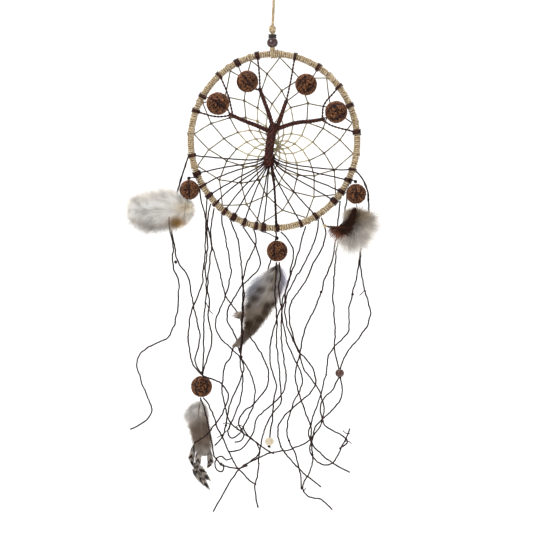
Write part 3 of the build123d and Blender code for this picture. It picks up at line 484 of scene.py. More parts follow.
# %% fringe routes
WAXED_CORD = 1.15
FRONT, BACK = -1, 1
BELLY, BELLY_TOP, BELLY_FULL = 2.0, -100.0, -150.0
OUTER_LEFT = [(-86, -16), (-90, -27), (-93.5, -40), (-97, -52), (-102, -65), (-105, -78)]
OUTER_RIGHT = [(82.6, -30.4), (89.5, -37.5), (93, -48), (95, -60), (95, -74), (91.5, -88),
               (87.5, -102), (86, -116)]
ROUTES = {
    "fringe_left_long": OUTER_LEFT + [
        (-104, -92), (-100.5, -107), (-102.5, -119), (-100, -129), (-95, -141), (-96, -156),
        (-97, -170), (-100, -185), (-106, -196.5), (-117, -202), (-129, -207.5), (-137, -215),
        (-138, -227), (-133, -241), (-127.5, -255), (-121.5, -269), (-126.5, -279),
        (-136, -285.5), (-144, -288.5)],
    "fringe_left_seed_outer": OUTER_LEFT + [
        (-101.5, -92), (-99.5, -106), (-98, -119), (-90, -129), (-84.5, -139), (-83, -151),
        (-81.5, -164), (-78, -179), (-73.5, -193), (-75.5, -206), (-79.5, -217), (-78, -226),
        (-73.4, -231.4)],
    "fringe_left_round_seed": [
        (-67, -58.5), (-67.3, -68), (-68, -84), (-68.5, -104), (-69.5, -124), (-71.5, -143),
        (-76.5, -157), (-82.5, -170), (-85, -185), (-85.5, -200), (-84, -214), (-78.5, -227),
        (-69, -235), (-59, -239), (-50.5, -243.5), (-45, -252), (-46, -263), (-53, -274),
        (-61, -286), (-68, -294.5), (-74, -298), (-79.5, -301)],
    "fringe_left_cross": [
        (-74.5, -46.5), (-74, -55), (-71, -67), (-67.5, -82), (-63.5, -97), (-60.5, -112),
        (-55, -127), (-52.5, -142), (-49, -156), (-40, -166), (-33.5, -176), (-32, -189),
        (-34.5, -200), (-41.5, -207.5), (-44, -217), (-50.2, -225.5), (-51.7, -240),
        (-51.2, -255), (-49, -269), (-46, -281), (-36, -289), (-24, -297), (-13, -306),
        (-6, -311), (0, -313.5)],
    "fringe_left_seed_middle": [
        (-63.3, -63), (-66.5, -75), (-67, -90), (-65.5, -106), (-68, -121), (-68.4, -135),
        (-67, -151), (-68.7, -167), (-70.3, -184), (-70, -201), (-70.4, -217), (-71.6, -230.8)],
    "fringe_left_seed_inner": [
        (-59.8, -67.5), (-62, -77), (-63, -92), (-62, -108), (-65, -123), (-65.5, -138),
        (-66, -151), (-64, -164), (-66, -176), (-63, -188), (-61.3, -200), (-65, -213),
        (-69, -224), (-71, -231.3)],
    "fringe_left_tail": [
        (-52.2, -73.6), (-52.5, -83), (-49, -92), (-47.5, -106), (-43.5, -121), (-43, -136),
        (-47.5, -151), (-53.5, -167), (-59.7, -184), (-55.5, -196), (-45, -206.5),
        (-33.5, -216.5), (-26, -227), (-21, -240), (-18.5, -254), (-21, -267), (-27, -279),
        (-32, -288.5), (-26, -296.5), (-17, -303), (-13, -312), (-21, -320), (-32, -326.5),
        (-42, -336), (-48, -349), (-55, -360.5), (-61, -371.5)],
    "fringe_left_hook": [
        (-43.3, -79.7), (-40, -89), (-35.5, -100), (-33.5, -115), (-32, -130), (-30.5, -146),
        (-30, -162), (-31.5, -178), (-31, -194), (-32.5, -208), (-34.2, -221), (-31, -234),
        (-31.4, -248), (-34, -262), (-39, -274), (-44, -284), (-46.5, -291), (-43, -297),
        (-37, -294.5), (-33.5, -291)],
    "fringe_left_zigzag": [
        (-31.2, -85.6), (-27, -92), (-20.5, -101), (-15, -113), (-13.5, -125), (-22, -136),
        (-33, -145), (-39.5, -156), (-46, -167), (-47.5, -179), (-41.5, -189.5), (-37, -201),
        (-34, -214), (-29.5, -226), (-34, -240), (-39.5, -253), (-45.5, -265), (-46.5, -277),
        (-48.5, -289), (-51.5, -297.5), (-59.4, -305)],
    "fringe_left_short": [
        (-20.1, -89.2), (-17, -97), (-19, -107), (-25, -118), (-29.5, -130), (-31.5, -145),
        (-30.5, -160), (-32.5, -176), (-31.5, -191), (-34, -205), (-33, -216)],
    "fringe_behind_feather": [
        (2.5, -91.8), (1.5, -98.5), (0, -107), (-2, -118), (-7, -131), (-11, -144), (-13, -159),
        (-18, -174), (-24, -186), (-24, -197), (-17.5, -206), (-10, -218), (-5, -231), (-5.3, -243),
        (-11.5, -255), (-21, -264), (-30.5, -271), (-36.5, -280.5), (-33, -289), (-29.5, -295),
        (-33.5, -302), (-39.5, -302)],
    "fringe_natural_bead": [
        (7, -91), (12, -95.5), (17, -102.5), (20.5, -112), (17.5, -125), (15, -139), (10, -153),
        (6, -168), (2, -182), (-3, -196), (-4.7, -210), (-4.2, -223), (0, -235), (3, -245),
        (1, -254), (-1.3, -265), (-1, -277), (-3.2, -288), (-4.4, -297), (-4.8, -305)],
    "fringe_right_sweep_left": [
        (31.7, -85.4), (28.5, -95), (25.5, -108), (21, -121), (16.5, -134), (13, -147),
        (10.5, -159), (8, -171), (7, -185), (7.5, -200), (9.3, -215), (11.7, -230),
        (11.5, -245), (5.5, -256), (-4, -264.5), (-13.5, -271), (-19, -281), (-22, -294),
        (-28, -303.5), (-35.5, -309), (-44.5, -309.6)],
    "fringe_right_diagonal": [
        (44.4, -79), (43.5, -91), (39, -104), (33.5, -117), (26, -129.5), (18.5, -141.5),
        (12.5, -154), (10, -168), (12, -182), (17.5, -196), (23.5, -209), (33.5, -219.5),
        (40.5, -231), (42.3, -243), (34, -253.5), (23, -262.5), (12, -272), (4.5, -282),
        (2.5, -294), (8, -306.5), (16.5, -318), (26, -328), (36.5, -336.5), (46.5, -344.5)],
    "fringe_right_to_left": [
        (47.3, -77), (51, -85), (51.8, -95), (47.5, -107), (41.5, -119), (35.5, -131.5),
        (29, -144), (19.5, -155.5), (15, -168), (15.5, -182), (20, -197), (25, -211),
        (28.5, -225), (36, -237.5), (45, -247.5), (49, -259.5), (50.3, -272), (47, -284),
        (40, -294.5), (30, -302.5), (17.5, -307.5), (3.5, -309.9), (-8.5, -312.5),
        (-20, -318.5), (-31, -323.5)],
    "fringe_right_hook": [
        (66.2, -60), (65, -72), (63.5, -87), (61.5, -102), (58.5, -117), (54, -130),
        (49.5, -142), (46.5, -154), (41.5, -167), (35, -179), (29.7, -192), (27.5, -206),
        (24.5, -220), (20.7, -233), (22.5, -246), (27, -259.5), (31.5, -272.5), (37, -285),
        (38, -298), (34.5, -309), (41, -319.5), (50, -326), (59, -323), (65, -313),
        (69, -303), (73.5, -296), (76, -288)],
    "fringe_right_bead_inner": [
        (73.6, -49.6), (72.3, -62), (71.5, -76), (67, -90), (62.5, -105), (61.7, -120),
        (60.5, -135), (59, -150), (59.2, -165), (61.5, -180), (61.2, -195), (60.7, -209),
        (63, -220), (65.3, -228.4)],
    "fringe_right_long": OUTER_RIGHT + [
        (84.5, -129), (81.5, -142), (78.5, -155), (75, -168), (75.7, -181), (76, -191),
        (68.5, -198.5), (60, -207), (54.2, -216.5), (53, -229), (50.3, -243), (46, -257),
        (41.5, -271), (36.5, -284), (34.5, -296), (40, -307.5), (51, -317.5), (63, -325.5),
        (76, -332)],
    "fringe_right_bead_outer": OUTER_RIGHT + [
        (87, -128), (89, -141), (93, -154), (97, -167), (96, -180), (90, -192), (81, -202),
        (73, -212.5), (68.5, -221.5), (66.6, -228.4)],
    "bead_tail_left": [
        (65.3, -236.8), (61.5, -245), (57.5, -251.5), (49.5, -257), (46, -266), (47.5, -277),
        (52, -286), (61, -291), (69.5, -295), (75, -300.5), (71.5, -305.5), (65.5, -308)],
    "bead_tail_right": [
        (66.6, -236.8), (68.7, -248), (67, -259), (60.5, -269), (50.5, -277), (42, -285.5),
        (38.3, -297), (38, -309), (39, -322), (36, -333.5), (29, -343), (28.5, -352),
        (36.5, -357.8), (45.5, -358.5), (52.5, -363), (58.5, -370)],
    "centre_tail_left": [
        (2.2, -121.6), (2, -134), (1.2, -147), (1.5, -161), (3, -176), (2.7, -191), (2.2, -205),
        (4.5, -219), (5.8, -233), (6.5, -245), (8.5, -256), (4.5, -266), (-4, -275),
        (-9, -286), (-12.5, -298), (-14.7, -311), (-14.9, -325), (-18, -339), (-19.5, -353),
        (-15.8, -366.4)],
    "centre_tail_right": [
        (5.2, -121.4), (7, -131), (4.7, -143), (5.3, -156), (7.5, -170), (9.5, -185),
        (12, -199), (17.5, -213), (24, -224.5), (29, -235), (27.8, -247), (21, -258),
        (16.5, -269), (13.7, -281), (12, -292), (15.5, -301), (20.5, -312), (24.7, -324),
        (26.9, -336), (27.3, -348)],
    "seed_tail_left": [
        (-73.6, -256.9), (-70, -265), (-67.4, -277), (-64, -289), (-62, -301), (-61, -313),
        (-55, -321.5), (-45, -326), (-34.5, -327), (-26.5, -324)],
    "curl_ring": [
        (-42, -317), (-47.5, -319), (-51, -315.3), (-56, -315.2), (-59.5, -320.5),
        (-58, -327.5), (-53.2, -331), (-49, -327.5), (-50.5, -323)],
    "seed_tail_right": [
        (-70.8, -256.9), (-65.5, -262), (-62, -271), (-59, -281), (-55, -290.5), (-50, -300.5),
        (-45.5, -311), (-39, -322.5), (-32, -333), (-24.5, -339.5), (-18, -344)],
}
BROWN_BEAD = (66.0, -232.6)
NATURAL_BEAD = (-4.6, -301.0)
SIDE_BY_SIDE = 0.65


def belly(x, z):
    """How far the fringe stands out at a place below the hoop, beyond its layer."""
    grown = min(1.0, max(0.0, (BELLY_TOP - z) / (BELLY_TOP - BELLY_FULL)))
    return BELLY * grown * (1 + math.sin(z / 19 + x / 31))


def layered(route, side, layer, start_depth, end_depth=None, swell=True, ease=3):
    """A cord's places in the frame: it eases from its tie into its own layer."""
    places = []
    for step, (x, z) in enumerate(route):
        depth = side * (layer + (belly(x, z) if swell else 0))
        entry = min(1.0, step / ease)
        depth = start_depth * (1 - entry) + depth * entry
        if end_depth is not None:
            left = min(1.0, (len(route) - 1 - step) / 3)
            depth = end_depth * (1 - left) + depth * left
        places.append(at(x, depth, z))
    return places


BROWN_BEAD_DEPTH = 10.9 + belly(*BROWN_BEAD)
NATURAL_BEAD_DEPTH = 8.1 + belly(*NATURAL_BEAD)
LAYERS = {
    "fringe_left_long": (BACK, 6.5, 4.2),
    "fringe_left_seed_outer": (BACK, 8.1, 5.8, 1.0),
    "fringe_left_round_seed": (FRONT, 14.3, -4.2),
    "fringe_left_cross": (BACK, 9.7, 4.2),
    "fringe_left_seed_middle": (FRONT, 11.1, -4.2, -0.6),
    "fringe_left_seed_inner": (FRONT, 12.7, -4.2, -2.0),
    "fringe_left_tail": (BACK, 11.3, 4.2),
    "fringe_left_hook": (FRONT, 11.1, -4.2),
    "fringe_left_zigzag": (BACK, 6.5, 4.2),
    "fringe_left_short": (FRONT, 12.7, -4.2),
    "fringe_behind_feather": (BACK, 13.2, 4.2, None, True, 2),
    "fringe_natural_bead": (BACK, 8.1, 4.2, NATURAL_BEAD_DEPTH),
    "fringe_right_sweep_left": (FRONT, 14.3, -4.2),
    "fringe_right_diagonal": (FRONT, 15.9, -4.2),
    "fringe_right_to_left": (FRONT, 12.7, -4.2),
    "fringe_right_hook": (BACK, 6.5, 4.2),
    "fringe_right_bead_inner": (BACK, 9.7, 4.2, BROWN_BEAD_DEPTH - SIDE_BY_SIDE),
    "fringe_right_long": (BACK, 11.3, 4.2),
    "fringe_right_bead_outer": (BACK, 12.9, 5.8, BROWN_BEAD_DEPTH + SIDE_BY_SIDE),
    "bead_tail_left": (BACK, 9.7, BROWN_BEAD_DEPTH - SIDE_BY_SIDE),
    "bead_tail_right": (BACK, 12.9, BROWN_BEAD_DEPTH + SIDE_BY_SIDE),
    "centre_tail_left": (FRONT, 4.2, -2.0, None, False),
    "centre_tail_right": (FRONT, 5.8, -3.4, None, False),
    "seed_tail_left": (FRONT, 9.0, -2.0, None, False),
    "curl_ring": (FRONT, 7.6, -7.6, None, False),
    "seed_tail_right": (BACK, 4.2, 2.0, None, False),
}
CORD_BODIES = {
    "centre_tail_left": "centre_pendant", "centre_tail_right": "centre_pendant",
    "seed_tail_left": "lower_pendant", "seed_tail_right": "lower_pendant", "curl_ring": "lower_pendant",
}


# %% fringe
def waver(line, size, period, seed):
    """Small irregular side steps along a line, as a hand-pulled cord has; the ends stay where they are."""
    rng = np.random.default_rng(seed)
    offset = rng.uniform(0, 100, 3)
    runs = np.arange(len(line)) / max(1, len(line) - 1)
    ease = np.clip(np.minimum(runs, 1 - runs) * 12, 0, 1)
    moved = line.copy()
    for index, place in enumerate(line):
        shift = noise.noise_vector(Vector(place + offset * MM) / period)
        moved[index] += np.array(shift) * size * ease[index]
    return moved


# The cords are drawn this many times their measured thickness, so that thin dark lines still read from afar
CORD_FULLNESS = 1.35
lines = {}
for number, (name, route) in enumerate(ROUTES.items()):
    line = even_steps(read_line(name, layered(route, *LAYERS[name])), 0.6 * MM)
    line = waver(waver(line, 1.1 * MM, 9 * MM, number), 0.4 * MM, 2.6 * MM, number + 50)
    lines[name] = line
    swell = np.array([CORD_FULLNESS + 0.12 * noise.noise(Vector(place) / (6 * MM)) for place in line])
    body = CORD_BODIES.get(name, "hoop")
    cord = solid(name, [tube(line, WAXED_CORD / 2 * MM * swell, 8, plies=2, pitch=3.2 * MM)], WAXED, body)
    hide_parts(name)
print(len(lines), "waxed cords,", round(sum(length_of(line) for line in lines.values()), 2), "m in all")

# %% [markdown]
# ## Hanging cord, its loop, knot and lashing
# Thick jute cord laid from three strands. It ends in a closed loop over the nail, passes the discs and the big
# bead, and is lashed to the hoop. Jute is hairy, so the cord and its loop carry fine loose fibres.

# %% hanging cord
NECK_TOP, LOOP_KNOT_Z, CORD_RADIUS = 94.0, HOOP_DROP - 24.0, 1.4
KNOT_LOW, KNOT_HEIGHT = 106.9, 9.0


def jute_rope(name, line, body, node, hair_seed):
    """A three-strand jute cord with loose fibres; it stands for a CAD node."""
    parts = strands(line, 3, 0.68 * MM, 0.78 * MM, 6.5 * MM, around=9, plies=2, pitch=2.6 * MM)
    rope = solid(name, parts, JUTE, body)
    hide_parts(node)
    fuzz = solid(name + "_hair", [hairs(line, 1.2 * MM, 1.6 * MM, 0.07 * MM, int(len(line) * 4), hair_seed)],
                 JUTE_HAIR, body)
    fuzz.parent = rope
    return rope


cord_top, cord_low = at(0, 0, LOOP_KNOT_Z), at(NECK_X, 0, NECK_TOP)
cord_route = [cord_low, at(NECK_X, 0, KNOT_LOW), at(NECK_X * 0.7, 0, 120), at(NECK_X * 0.3, 0, 134), cord_top]
main_line = even_steps(read_line("hanging_cord", cord_route), 0.5 * MM)[::-1].copy()
main_rope = jute_rope("hanging_cord_rope", main_line, "cord", "hanging_cord", 11)
knot_middle = at(NECK_X, 0, KNOT_LOW + KNOT_HEIGHT / 2)
knot_parts = [wound_knot(knot_middle, 3.9 * MM, 1.0 * MM, turns=5, squash=(0.9, 0.9, 1.15), seed=3),
              wound_knot(knot_middle, 3.2 * MM, 1.0 * MM, turns=4, squash=(0.9, 0.9, 1.25), seed=8)]
upper_knot = solid("hanging_cord_knot", knot_parts, JUTE, "cord")

eye = [at(0, 0.6, LOOP_KNOT_Z), at(-1.6, 0.6, LOOP_KNOT_Z + 5), at(-5.5, 0.3, LOOP_KNOT_Z + 12),
       at(-6.6, 0, HOOP_DROP - 5), at(-5.2, 0, HOOP_DROP + 0.6), at(0, 0, HOOP_DROP + 2.6),
       at(5.2, 0, HOOP_DROP + 0.6), at(6.6, 0, HOOP_DROP - 5), at(5.5, -0.3, LOOP_KNOT_Z + 12),
       at(1.6, -0.6, LOOP_KNOT_Z + 5), at(0, -0.6, LOOP_KNOT_Z)]
loop_line = even_steps(read_line("loop", eye), 0.5 * MM)
loop_rope = jute_rope("hanging_loop_rope", loop_line, "cord", "hanging_loop", 12)
loop_knot = solid("hanging_loop_knot", [
    wound_knot(at(0, 0, LOOP_KNOT_Z + 1.5), 3.6 * MM, 1.0 * MM, turns=5, seed=5),
    wound_knot(at(0, 0, LOOP_KNOT_Z + 1.0), 2.8 * MM, 1.0 * MM, turns=4, seed=9)], JUTE, "cord")
print("hanging cord, mm:", round(length_of(main_line) / MM))

# %% [markdown]
# ## Hoop: jute wound over the ring
# One long jute cord goes round and round the ring with its turns side by side. Each turn leans a little and the
# spacing wanders. At the top a wider lashing closes the winding and carries the neck.

# %% hoop wrap
WRAP_TURNS = 254
WRAP_CORD = 0.95
STEPS_PER_TURN = 22


def winding(start, stop, turns, reach, cord, seed, wander=0.12, around=7):
    """A cord wound round the ring from one angle to another, in degrees; reach is the winding's radius."""
    count = int(turns * STEPS_PER_TURN)
    share = np.linspace(0, 1, count)
    turn = share * turns * 2 * math.pi
    line = np.empty((count, 3))
    for index in range(count):
        drift = wander * noise.noise(Vector((share[index] * turns * 0.35, seed, 0.0)))
        angle = math.radians(start + (stop - start) * (share[index] + drift / turns))
        x, z, out_x, out_z = ring_point(angle)
        radius = reach + 0.18 * noise.noise(Vector((share[index] * turns * 0.6, seed, 4.0)))
        across, over = radius * math.cos(turn[index]), radius * math.sin(turn[index])
        line[index] = at(x + across * out_x, over, z + across * out_z)
    return line, tube(line, cord * MM, around, plies=2, pitch=3.0 * MM, depth=0.2)


wrap_line, wrap_part = winding(92.5, 447.5, WRAP_TURNS, WRAP_RADIUS - WRAP_CORD + 0.1, WRAP_CORD, 21, wander=0.5)
hoop_wrap = solid("hoop_winding", [wrap_part], JUTE, "hoop")
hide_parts("hoop_wrap")
wrap_hair = solid("hoop_winding_hair", [hairs(wrap_line[::3], 0.7 * MM, 1.5 * MM, 0.06 * MM, 4200, 31)],
                  JUTE_HAIR, "hoop")
wrap_hair.parent = hoop_wrap

_, lash_part = winding(87.6, 92.6, 4.2, 4.0, 0.8, 25)
neck_line = np.array([at(NECK_X + 1.9 * math.cos(a), 1.9 * math.sin(a), 90.5 + 3.0 * a / (8 * math.pi))
                      for a in np.linspace(0, 8 * math.pi, 100)])
neck_part = tube(neck_line, 0.7 * MM, 7, plies=2, pitch=3 * MM)
lashing = solid("hoop_lashing_cord", [lash_part, neck_part,
                                      wound_knot(at(NECK_X, 0, 92.4), 2.6 * MM, 0.8 * MM, turns=4, seed=2)],
                JUTE, "hoop")
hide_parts("hoop_lashing")
print(WRAP_TURNS, "turns of jute,", round(length_of(wrap_line), 2), "m")

# %% [markdown]
# ## Web
# Linen thread looped from round to round: each round hangs on the middles of the one before, and every loop
# closes in a small hitch, so the stretches between them pull straight. The thread is drawn thicker than the
# solid web's cord, and the last two rounds, which close the eye behind the trunk, are more than the solid has.

# %% web
WEB_ANCHORS = [175, 152, 122, 106, 86, 50, 13, -9, -41, -67, -99, -129, -162]
WEB_ROUNDS = [1.0, 0.79, 0.61, 0.46, 0.34, 0.24, 0.16, 0.1, 0.06, 0.035]
WEB_EYE = (1.0, -5.0)
WEB_DEPTH, WEB_CORD = 2.0, 1.3


def web_knots(round_number):
    """The knots of one round, half a step on from those of the round before."""
    count = len(WEB_ANCHORS)
    share = WEB_ROUNDS[round_number]
    angles = list(WEB_ANCHORS)
    for step in range(round_number):
        angles = [(angles[i] + angles[i + 1 - count] - (360 if i == count - 1 else 0)) / 2 for i in range(count)]
    knots = []
    for angle in angles:
        x, z, out_x, out_z = ring_point(math.radians(angle))
        inside = WRAP_RADIUS - 0.4 if round_number == 0 else 0
        knots.append(np.array(at((x - inside * out_x) * share + WEB_EYE[0] * (1 - share), WEB_DEPTH,
                                 (z - inside * out_z) * share + WEB_EYE[1] * (1 - share))))
    return knots


def thread_between(start, end, sag):
    """A taut thread from knot to knot with the slight bow of its own stiffness."""
    middle = (start + end) / 2
    bow = np.array([end[2] - start[2], 0, start[0] - end[0]]) * sag
    return np.array([start * (1 - t) ** 2 + 2 * t * (1 - t) * (middle + bow) + end * t ** 2
                     for t in np.linspace(0, 1, 9)])


web_parts, heart_parts = [], []
random.seed(3)
for round_number in range(1, len(WEB_ROUNDS)):
    outer, inner = web_knots(round_number - 1), web_knots(round_number)
    parts = web_parts if round_number < 4 else heart_parts
    for index, knot in enumerate(inner):
        following = outer[(index + 1) % len(outer)]
        for start, end in ((outer[index], knot), (knot, following)):
            line = thread_between(start, end, random.uniform(-0.03, 0.03))
            parts.append(tube(line, WEB_CORD / 2 * MM, 7, plies=2, pitch=2.2 * MM))
        parts.append(wound_knot(knot, 1.4 * MM, 0.5 * MM, turns=3, seed=index))
hitch_parts = []
for angle in WEB_ANCHORS:
    for shift in (-0.55, 0.55):
        hitch, hitch_part = winding(angle + shift - 0.3, angle + shift + 0.3, 1.1, WRAP_RADIUS + 0.2, 0.4, angle)
        hitch_parts.append(hitch_part)
hitches = solid("web_hitches", hitch_parts, JUTE, "hoop")
web = solid("web_thread", web_parts, WEB_THREAD, "hoop")
heart = solid("web_heart", heart_parts, HEART_THREAD, "hoop")
heart.parent = web
hitches.parent = web
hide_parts("web_net")
print(len(web_parts), "threads and knots in the web")
# %% [markdown]
# ## Tree: ropes of waxed cord
# The trunk is a bundle of cords twisted together and bound at its foot. Above, the bundle divides into four
# branches, each laid from three doubled cords. Below, every cord goes its own way to the hoop as a root.

# %% tree
TREE_DEPTH, TIE_DEPTH, BRANCH_TIP_DEPTH = -5.3, -4.2, -8.0
TRUNK = [(0.0, 17, 4.2), (-1.5, 11, 4.7), (-3.2, 3, 4.5), (-4.4, -6, 4.4), (-5.2, -14, 4.6), (-6.0, -22, 5.0)]
BRANCHES = {
    "branch_far_left": [(-4, 9), (-14, 14), (-25, 18), (-35, 22), (-43, 26)],
    "branch_left": [(-1, 13), (-4, 24), (-10, 40), (-14, 51)],
    "branch_right": [(2, 13), (6, 20), (9, 31), (12, 39)],
    "branch_far_right": [(1, 11), (15, 16.5), (27, 18.8), (39, 19.5), (49, 21.5)],
}

trunk_line = even_steps(read_line("trunk", [at(x, TREE_DEPTH, z) for x, z, radius in TRUNK]), 0.5 * MM)
trunk_reach = np.interp(np.linspace(0, 1, len(trunk_line)), np.linspace(0, 1, len(TRUNK)),
                        [radius - 1.7 for x, z, radius in TRUNK]) * MM
trunk_parts = strands(trunk_line, 6, trunk_reach, 1.72 * MM, 44 * MM, around=14, plies=3, pitch=9 * MM, depth=0.24)
trunk_parts += strands(trunk_line, 2, trunk_reach * 0.4, 1.9 * MM, 44 * MM, around=12)
trunk = solid("trunk_cords", trunk_parts, TREE_CORD, "hoop")
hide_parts("tree_trunk")

for name, route in BRANCHES.items():
    reach = BRANCH_TIP_DEPTH - TREE_DEPTH
    places = [at(x, TREE_DEPTH + reach * step / (len(route) - 1), z) for step, (x, z) in enumerate(route)]
    line = even_steps(read_line(name, places), 0.4 * MM)
    taper = np.linspace(1.0, 0.82, len(line))
    parts = strands(line, 3, 1.2 * MM * taper, 1.26 * MM * taper, 9 * MM, around=12, plies=2, pitch=4.5 * MM,
                    depth=0.25)
    branch = solid(name + "_rope", parts, TREE_CORD, "hoop")
    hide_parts(name)
print("trunk and", len(BRANCHES), "branches")

# %% [markdown]
# ## Twigs and roots
# From each branch tip single cords fan out: some carry a seed, others pass beside it, and each is hitched to the
# hoop with a few tight turns. The roots do the same below.

# %% twigs and roots
CANOPY_SEEDS = {
    "canopy_seed_far_left": ((-56, 37), 11.5, "branch_far_left", 148),
    "canopy_seed_left": ((-26.5, 59), 11.0, "branch_left", 115),
    "canopy_seed_right": ((32, 56), 11.0, "branch_right", 59),
    "canopy_seed_far_right": ((62, 28.5), 11.3, "branch_far_right", 25),
}
SEED_DEPTH = -9.8
TWIGS = [
    [(-42, -6.8, 25.5), (-54, -2.9, 23.5), (-66, -2.9, 25.5), (-77.2, -4.2, 29.6)],
    [(-41, -6.6, 25), (-43, -4.0, 37), (-46.5, -3.0, 47), (-49.5, -3.0, 56), (-54, -4.2, 64.5)],
    [(-14, -8.0, 50), (-14.2, -5.5, 62), (-15.5, -4.0, 74), (-16.4, -4.2, 84.5)],
    [(12, -8.0, 38), (15, -5.5, 51), (18.5, -4.0, 70), (21, -4.2, 84)],
    [(48, -7.6, 21.2), (48.5, -3.6, 29), (49.5, -3.0, 36), (55, -3.0, 43.5), (65, -4.2, 54.5)],
    [(47, -7.6, 21), (58, -3.4, 14.5), (67, -3.0, 12.5), (82, -4.2, 8.6)],
]
ROOTS = [
    [(-9, -19.5), (-44, -18.5)], [(-9, -21), (-54, -26.5)], [(-8, -22), (-48, -31.5)],
    [(-8, -23), (-44, -41)], [(-8, -24), (-45, -47.5)], [(-7.5, -25), (-36, -50.5)],
    [(-7, -26), (-25, -48)], [(-6.5, -26), (-19.5, -50)], [(-6, -26), (-10.5, -54)],
    [(-5.5, -26), (-7.5, -62)], [(-4, -26), (0.5, -45)], [(-4, -26), (12, -57)],
    [(-3.5, -25), (29, -61)], [(-3, -24), (45, -50.5)], [(-3, -23), (55, -45)],
    [(-3, -22), (42, -32)], [(-3, -20.5), (60, -30)],
]
CANOPY_TIES = [159, 148, 130, 115, 101, 76, 59, 40, 25, 6]
ROOT_TIES = [-170, -157, -148, -140, -133, -125, -118, -110, -102, -97, -88, -72, -61, -45, -37, -28, -20]


def waxed(places, radius, seed, wobble=0.25):
    """A single waxed cord pulled between two ties, with the small bends that its wax keeps."""
    line = even_steps(read_line("waxed", places), 0.5 * MM)
    return tube(waver(line, wobble * MM, 7 * MM, seed), radius * MM, 8, plies=2, pitch=3.2 * MM)


twig_parts = []
for index, route in enumerate(TWIGS):
    line = even_steps(read_line("twig", [at(*place) for place in route]), 0.5 * MM)
    line = waver(line, 0.5 * MM, 8 * MM, 40 + index)
    twig_parts += strands(line, 2, 0.5 * MM, 0.55 * MM, 7 * MM, around=8, plies=2, pitch=3 * MM)
seed_axes = {}
for index, (name, (middle, radius, branch_name, tie)) in enumerate(CANOPY_SEEDS.items()):
    tip_x, tip_z = BRANCHES[branch_name][-1]
    tie_x, tie_z, out_x, out_z = ring_point(math.radians(tie))
    bore = (Vector((tie_x, 0, tie_z)) - Vector((tip_x, 0, tip_z))).normalized()
    centre = at(middle[0], SEED_DEPTH, middle[1])
    seed_axes[name] = (centre, bore, radius)
    # The thread is straight inside the seed and bends only outside it
    places = [at(tip_x, BRANCH_TIP_DEPTH, tip_z), centre - bore * (radius + 1.5) * MM]
    inside = [centre - bore * (radius + 1.5) * MM, centre, centre + bore * (radius + 1.0) * MM]
    twig_parts.append(waxed(places + inside[1:] + [at(tie_x, TIE_DEPTH - 0.4, tie_z)], 0.58, 60 + index, 0.0))
    twig_parts.append(wound_knot(at(tip_x, BRANCH_TIP_DEPTH, tip_z), 2.1 * MM, 0.55 * MM, turns=5, seed=index))
twigs = solid("twig_cords", twig_parts, TREE_CORD, "hoop")
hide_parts("canopy_twigs")

root_parts = []
for index, ((start, middle), tie) in enumerate(zip(ROOTS, ROOT_TIES)):
    tie_x, tie_z, out_x, out_z = ring_point(math.radians(tie))
    root_parts.append(waxed([at(start[0] + 3, TREE_DEPTH, start[1] + 7), at(start[0], TREE_DEPTH + 0.4, start[1]),
                             at(middle[0], TIE_DEPTH - 0.6, middle[1]), at(tie_x, TIE_DEPTH - 0.4, tie_z)],
                            0.72, 80 + index, 0.35))
tap_line = even_steps(read_line("tap_root", [at(-2.5, TREE_DEPTH, -20), at(1.5, -5.2, -46), at(2, -5.2, -86)]),
                      0.5 * MM)
root_parts += strands(tap_line, 3, 0.62 * MM, 0.62 * MM, 12 * MM, around=8, plies=2, pitch=3 * MM)
collar_line = np.array([at(-5.5 + 4.2 * math.cos(a), TREE_DEPTH + 4.2 * math.sin(a), -26 + 6.6 * a / (10 * math.pi))
                        for a in np.linspace(0, 10 * math.pi, 170)])
root_parts.append(tube(collar_line, 0.62 * MM, 8, plies=2, pitch=3.2 * MM))
roots = solid("root_cords_taut", root_parts[:-1], WAXED, "hoop")
collar = solid("root_collar", root_parts[-1:], TREE_CORD, "hoop")
collar.parent = roots
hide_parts("root_cords")

# Each tie is a few tight turns of the cord round the hoop, and a small knot on the front
tie_parts = []
random.seed(5)
for index, angle in enumerate(CANOPY_TIES + ROOT_TIES):
    turns = random.choice([2.3, 3.2, 3.4, 4.1])
    spread = 0.42 * turns
    line, part = winding(angle - spread, angle + spread, turns, WRAP_RADIUS + 0.55, 0.56, 100 + index)
    tie_parts.append(part)
    x, z, out_x, out_z = ring_point(math.radians(angle))
    tie_parts.append(wound_knot(at(x - 0.8 * out_x, TIE_DEPTH - 0.7, z - 0.8 * out_z), 1.45 * MM, 0.52 * MM,
                                turns=4, seed=index))
ties = solid("tie_cords", tie_parts, TREE_CORD, "hoop")
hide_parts("hoop_ties")
print(len(TWIGS) + len(CANOPY_SEEDS), "twigs,", len(ROOTS), "roots,", len(CANOPY_TIES + ROOT_TIES), "ties")

# %% [markdown]
# ## Seeds
# A rudraksha seed's shell is cut into lobes by grooves from hole to hole, and is covered in winding ridges with
# deep pits between them. The ridges follow where two noise fields cross zero. Over the shell's own brown, the pits
# are painted near-black as shade and the ridge tops painted lighter as highlight.

# %% seeds
SEED_ROUND, SEED_RISE = 168, 96
SEED_LOBES = 5


